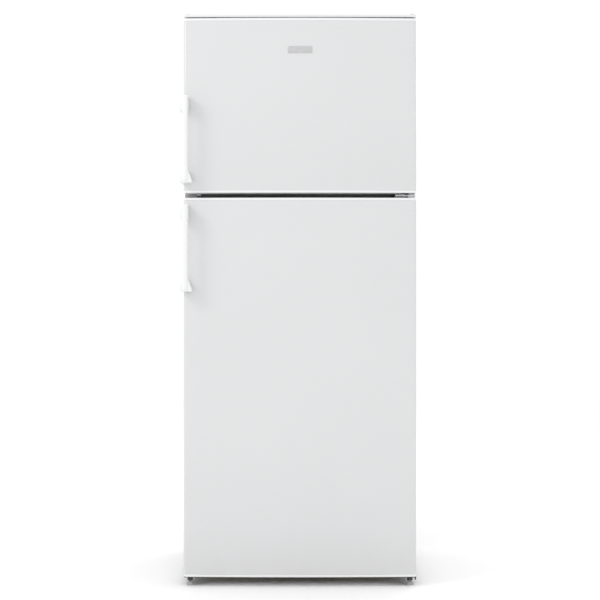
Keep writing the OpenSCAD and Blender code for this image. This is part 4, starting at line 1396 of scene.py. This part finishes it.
@dataclass
class FridgeFittings:
    """Shelves, drawer, air duct and the housing with the knob and the lamp."""

    finishes: Finishes
    glass_edge: float = 0.7 * MM
    trim_round: float = 5.5 * MM
    slot_y: float = 12 * MM
    slot_z: tuple[float, float] = (4.9 * MM, 9.1 * MM)
    drawer_face: float = 5 * MM
    drawer_wall: float = 3 * MM
    drawer_corner: float = 16 * MM
    drawer_foot: float = 12 * MM
    face_corner: float = 8 * MM
    grip_half: float = 70 * MM
    grip_z: tuple[float, float] = (32 * MM, 12 * MM)
    grip_depth: float = 3 * MM
    grip_round: float = 9.5 * MM
    housing_wall: float = 2.5 * MM
    housing_corner: float = 12 * MM
    housing_foot: float = 6 * MM
    plunger_round: float = 2.2 * MM
    lens_ribs: int = 44
    lens_depth: float = 0.9 * MM
    bulb_base: float = 30 * MM
    socket: float = 34 * MM
    knob_flutes: int = 30
    knob_face: float = 4 * MM
    knob_height: float = 11.7 * MM
    flute: tuple[float, float] = (0.35 * MM, 0.8 * MM)
    knob_rim: float = 2.5 * MM
    knob_step: tuple[float, float] = (1.2 * MM, 0.9 * MM)
    pointer_half: float = 2 * MM
    pointer_gap: float = 3.5 * MM
    stem: float = 3 * MM

    def shelves(self) -> None:
        """Model the glass plates with ground edges and the rounded trims at their fronts."""
        plates = [Bench.block(f"fridge_shelves_{i}", *box).soften(self.glass_edge, 3)
                  for i, box in enumerate(islands("fridge_shelves"))]
        for plate in plates:
            plate.finish("cabinet", "shelf_glass", self.finishes.get(SHELF_GLASS))
        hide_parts("fridge_shelves")
        trims = []
        for i, (low, high) in enumerate(islands("shelf_trims")):
            trims.append(self._trim(i, low, high))
        trims[0].join(trims[1:])
        trims[0].finish("cabinet", "white_plastic", self.finishes.get(WHITE_MOULDED), ["shelf_trims"])

    def _trim(self, number: int, low: Vector, high: Vector) -> Bench:
        """Model one shelf trim: a rounded nose with a slot for the glass.

        Args:
            number: the trim's number.
            low: its lowest corner.
            high: its highest corner.

        Returns:
            A bench that holds it.
        """
        nose = Bench.block(f"shelf_trims_{number}", low, high)
        nose.open()
        nose.pick(Kind.EDGE, lambda c, d: abs(d.x) > PARALLEL and c.y < low.y + NEAR)
        nose.bevel(self.trim_round, 6)
        nose.close()
        slot = Bench.block("slot", (low.x - OVERSHOOT, low.y + self.slot_y, low.z + self.slot_z[0]),
                           (high.x + OVERSHOOT, high.y + OVERSHOOT, low.z + self.slot_z[1]))
        return nose.cut([slot]).soften(0.5 * MM, 2)

    def drawer(self) -> None:
        """Model the clear drawer with rounded corners and a finger recess, and soften its cover."""
        low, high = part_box("crisper_drawer")
        face_back = low.y + self.drawer_face
        tub = open_box("crisper_drawer_piece", (low.x, face_back, low.z), high, self.drawer_wall,
                       self.drawer_corner, self.drawer_foot)
        face = Bench.block("face", low, (high.x, face_back, high.z))
        face.round_along(ALONG_Y, self.face_corner, 5)
        well = Bench.block("well", (-self.grip_half, low.y - OVERSHOOT, high.z - self.grip_z[0]),
                           (self.grip_half, low.y + self.grip_depth, high.z - self.grip_z[1]))
        well.round_along(ALONG_Y, self.grip_round, 7)
        tub.join([face.cut([well]).soften(0.8 * MM, 3)])
        tub.finish("crisper_drawer", "clear_plastic", self.finishes.get(CLEAR_MOULDED), ["crisper_drawer"])
        soft_copy("crisper_cover", self.finishes.get(SHELF_GLASS), 0.7 * MM, 3)

    def air(self) -> None:
        """Stand a softened duct in for the plain one."""
        soft_copy("air_duct", self.finishes.get(LINER_WHITE), 1.1 * MM, 3)

    def controls(self) -> None:
        """Model the housing, the fluted knob, the ribbed lens and the bulb."""
        low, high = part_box("control_housing")
        shell = open_box("control_housing_piece", low, high, self.housing_wall, self.housing_corner,
                         self.housing_foot, (0, 0, -1))
        shell.finish("cabinet", "liner_white", self.finishes.get(LINER_WHITE), ["control_housing"])
        self._knob()
        self._lamp()
        soft_copy("switch_housing", self.finishes.get(LINER_WHITE), 1.5 * MM, 3)
        low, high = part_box("door_switch")
        x, z = middle(low, high).x, middle(low, high).z
        plunger = Bench.rod("door_switch_piece", (x, low.y, z), (x, high.y, z), (high.x - low.x) / 2, 32)
        plunger.open()
        plunger.round_rim(lambda c, n: n.y < -PARALLEL, self.plunger_round, 5)
        plunger.close()
        plunger.finish("door_switch", "white_plastic", self.finishes.get(WHITE_MOULDED), ["door_switch"])

    def _knob(self) -> None:
        """Model the fluted knob with a raised pointer."""
        low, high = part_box("thermostat_knob")
        x, z = middle(low, high).x, middle(low, high).z
        radius = (high.x - low.x) / 2
        face = low.y + self.knob_face
        back = face + self.knob_height
        knob = Bench.rod("thermostat_knob_piece", (x, face, z), (x, back, z), radius, self.knob_flutes * 2)
        knob.open()
        angle = math.tau / (self.knob_flutes * 2)
        knob.pick(Kind.FACE, lambda c, n: abs(n.y) < 0.1 and
                  round(math.atan2(c.z - z, c.x - x) / angle - 0.5) % 2 == 0)
        bpy.ops.mesh.inset(thickness=self.flute[0], depth=-self.flute[1], use_individual=True)
        knob.pick(Kind.FACE, lambda c, n: n.y < -PARALLEL)
        knob.inset(self.knob_rim)
        knob.inset(self.knob_step[0], -self.knob_step[1])
        knob.close()
        knob.soften(0.35 * MM, 2, 28)
        reach = radius - self.pointer_gap
        pointer = Bench.block("pointer", (x - self.pointer_half, low.y, z - reach),
                              (x + self.pointer_half, face + 1.2 * MM, z + reach))
        pointer.soften(0.9 * MM, 3)
        stem = Bench.rod("stem", (x, back - 1 * MM, z), (x, high.y, z), self.stem, 28)
        knob.join([pointer, stem])
        knob.finish("thermostat_knob", "white_plastic", self.finishes.get(WHITE_MOULDED), ["thermostat_knob"])

    def _lamp(self) -> None:
        """Model the ribbed lens under the housing and the bulb behind it."""
        boxes = sorted(islands("lamp"), key=lambda box: box[1].x - box[0].x)
        (bulb_low, bulb_high), (low, high) = boxes[0], boxes[-1]
        lens = Bench.block("lamp_lens", low, high)
        lens.open()
        lens.pick(Kind.EDGE, lambda c, d: abs(d.x) > PARALLEL)
        bpy.ops.mesh.subdivide(number_cuts=self.lens_ribs * 2 - 1)
        pitch = (high.x - low.x) / (self.lens_ribs * 2)
        lens.pick(Kind.VERT, lambda c, n: c.z < low.z + 1e-5 and round((c.x - low.x) / pitch) % 2 == 1)
        lens.move((0, 0, self.lens_depth))
        lens.close()
        lens.finish("cabinet", "lamp_lens", self.finishes.get(LENS), ["lamp"])
        x, z = middle(bulb_low, bulb_high).x, middle(bulb_low, bulb_high).z
        radius = (bulb_high.x - bulb_low.x) / 2
        bulb = Bench.rod("lamp_bulb", (x, bulb_low.y, z), (x, bulb_high.y - self.bulb_base, z), radius, 32)
        bulb.open()
        bulb.round_rim(lambda c, n: abs(n.y) > PARALLEL, radius * 0.9, 8)
        bulb.close()
        bulb.finish("cabinet", "lamp_lens", self.finishes.get(LENS))
        cap = Bench.rod("lamp_socket", (x, bulb_high.y - self.socket, z), (x, bulb_high.y, z),
                        radius * 0.8, 32)
        cap.soften(1.5 * MM, 3)
        cap.finish("cabinet", "lamp_lens", self.finishes.get(GREY_MOULDED))

    def build(self) -> None:
        """Build the fridge's fittings."""
        self.shelves()
        self.drawer()
        self.air()
        self.controls()


# ---------------------------------------------------------------- undercarriage


@dataclass
class Undercarriage:
    """The base frame, two levelling feet and two rear rollers."""

    finishes: Finishes
    threads: int = 9
    foot_flutes: int = 12
    base_height: float = 7 * MM
    flute: tuple[float, float] = (0.25 * MM, 0.6 * MM)
    cone_height: float = 5 * MM
    cone_shares: tuple[float, float] = (0.92, 0.56)
    stem: float = 4 * MM
    thread_root: float = 0.84
    hub: float = 4.5 * MM
    tyre: float = 2.2 * MM
    dish: tuple[float, float] = (0.6 * MM, 2.0 * MM)
    axle: float = 3 * MM

    def foot(self, node: str) -> None:
        """Model one levelling foot: a fluted base and a threaded stem.

        Args:
            node: the foot's CAD node.
        """
        low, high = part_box(node)
        x, y = middle(low, high).xy
        radius = (high.x - low.x) / 2
        base_top = low.z + self.base_height
        base = Bench.rod(f"{node}_piece", (x, y, low.z), (x, y, base_top), radius, self.foot_flutes * 4)
        base.open()
        angle = math.tau / (self.foot_flutes * 4)
        base.pick(Kind.FACE, lambda c, n: abs(n.z) < 0.1 and
                  round(math.atan2(c.y - y, c.x - x) / angle - 0.5) % 4 == 0)
        bpy.ops.mesh.inset(thickness=self.flute[0], depth=-self.flute[1], use_individual=True)
        base.close()
        base.soften(0.8 * MM, 3, 50)
        wide, narrow = self.cone_shares
        cone = Bench.rod("cone", (x, y, base_top - 0.5 * MM), (x, y, base_top + self.cone_height),
                         radius * wide)
        cone.open()
        cone.pick(Kind.VERT, lambda c, n: c.z > base_top)
        bpy.ops.transform.resize(value=(narrow, narrow, 1), center_override=(x, y, base_top))
        cone.close()
        stem_low = base_top + 3 * MM
        pitch = (high.z - stem_low) / self.threads
        first = Bench.rod("thread", (x, y, stem_low), (x, y, stem_low + pitch), self.stem, 24)
        first.open()
        bpy.ops.mesh.select_all(action="SELECT")
        bpy.ops.mesh.bisect(plane_co=(x, y, stem_low + pitch / 2), plane_no=(0, 0, 1))
        first.pick(Kind.VERT, lambda c, n: abs(c.z - stem_low - pitch / 2) > pitch * 0.3)
        bpy.ops.transform.resize(value=(self.thread_root, self.thread_root, 1),
                                 center_override=(x, y, stem_low))
        first.close()
        rings = [first.shifted((0, 0, i * pitch), "thread") for i in range(1, self.threads)]
        base.join([cone.soften(0.5 * MM), first, *rings])
        base.finish(node, "grey_plastic", self.finishes.get(GREY_MOULDED), [node])

    def roller(self, node: str) -> None:
        """Model one rear roller: a dished wheel on a steel axle.

        Args:
            node: the roller's CAD node.
        """
        low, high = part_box(node)
        centre = middle(low, high)
        radius = (high.z - low.z) / 2
        half = (high.x - low.x) / 2 - self.hub
        wheel = Bench.rod(f"{node}_piece", (centre.x - half, centre.y, centre.z),
                          (centre.x + half, centre.y, centre.z), radius, 56)
        wheel.open()
        wheel.pick(Kind.FACE, lambda c, n: abs(n.x) > PARALLEL)
        wheel.inset(self.tyre)
        wheel.inset(self.dish[0], -self.dish[1])
        wheel.close()
        wheel.soften(0.9 * MM, 3)
        wheel.finish(node, "grey_plastic", self.finishes.get(GREY_MOULDED), [node])
        axle = Bench.rod(f"{node}_axle", (low.x, centre.y, centre.z), (high.x, centre.y, centre.z),
                         self.axle, 28)
        axle.soften(0.5 * MM, 2)
        axle.finish(node, "grey_plastic", self.finishes.get(BRIGHT_STEEL))

    def build(self) -> None:
        """Build everything under the cabinet."""
        soft_copy("base_frame", self.finishes.get(BLACK_ENAMEL), 0.7 * MM, 2)
        for node in ("front_foot_left", "front_foot_right"):
            self.foot(node)
        for node in ("rear_roller_left", "rear_roller_right"):
            self.roller(node)


# ---------------------------------------------------------------- studio


@dataclass
class Studio:
    """Camera, lights, floor and sky."""

    distance: float = 4.2
    view_height: float = 1.80
    eye: float = 0.861
    front: float = -0.3185

    def camera(self) -> None:
        """Set the camera square on to the doors, at the middle of their height."""
        data = bpy.data.cameras.new("camera")
        data.sensor_width = 36.0
        data.lens = data.sensor_width * self.distance / self.view_height
        data.clip_end = 50.0
        camera = bpy.data.objects.new("camera", data)
        bpy.context.scene.collection.objects.link(camera)
        camera.location = (0.0, self.front - self.distance, self.eye)
        camera.rotation_euler = (math.radians(90), 0.0, 0.0)
        bpy.context.scene.camera = camera

    def lamp(self, name: str, place: Sequence[float], aim: Sequence[float], size: float,
             power: float) -> None:
        """Hang one soft lamp.

        Args:
            name: the lamp's name.
            place: where it hangs.
            aim: the point that it faces.
            size: the side of its square.
            power: its power in watts.
        """
        data = bpy.data.lights.new(name, "AREA")
        data.size = size
        data.energy = power
        lamp = bpy.data.objects.new(name, data)
        bpy.context.scene.collection.objects.link(lamp)
        lamp.location = place
        lamp.rotation_euler = (Vector(aim) - Vector(place)).to_track_quat("-Z", "Y").to_euler()

    def floor(self) -> None:
        """Lay a plain pale floor."""
        bench = Bench.block("floor", (-8, -8, -0.02), (8, 8, 0))
        bench.soften(5 * MM)
        material = bpy.data.materials.new("floor")
        material.use_nodes = True
        shader = material.node_tree.nodes["Principled BSDF"]
        shader.inputs["Base Color"].default_value = (0.99, 0.99, 0.99, 1)
        shader.inputs["Roughness"].default_value = 0.9
        bench.obj.data.materials.append(material)

    def build(self) -> None:
        """Set up the whole studio."""
        world = bpy.data.worlds.new("studio")
        world.use_nodes = True
        sky = world.node_tree.nodes["Background"]
        sky.inputs["Color"].default_value = (1.0, 1.0, 1.0, 1)
        sky.inputs["Strength"].default_value = 1.02
        bpy.context.scene.world = world
        bpy.context.scene.view_settings.view_transform = "Standard"
        self.lamp("key", (-2.3, -1.9, 2.7), (-0.2, -0.3, 1.2), 1.0, 16.0)
        self.lamp("rear", (1.8, 3.0, 2.6), (0, 0.3, 0.9), 1.8, 20.0)
        self.floor()


# ---------------------------------------------------------------- main


def main() -> None:
    """Build every sub-assembly in order."""
    logging.basicConfig(level=logging.INFO, format="%(message)s")
    studio = Studio()
    studio.camera()
    studio.build()
    finishes = Finishes()
    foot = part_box("front_foot_right")
    hinge = middle(*foot)
    Cabinet(finishes).build()
    Hinges(finishes).build()
    ColdCircuit(finishes).build()
    FreezerFittings(finishes).build()
    FridgeFittings(finishes).build()
    Undercarriage(finishes).build()
    for name in ("freezer_door", "fridge_door"):
        DoorLeaf(name, finishes).build(hinge)
    for node in ("freezer_handle", "fridge_handle"):
        Handle(node, finishes).build()
    soft_copy("badge_plate", finishes.get(BADGE), 0.5 * MM, 3)
    soft_copy("dairy_flap", finishes.get(CLEAR_MOULDED), 0.8 * MM, 3)


if __name__ == "__main__":
    main()
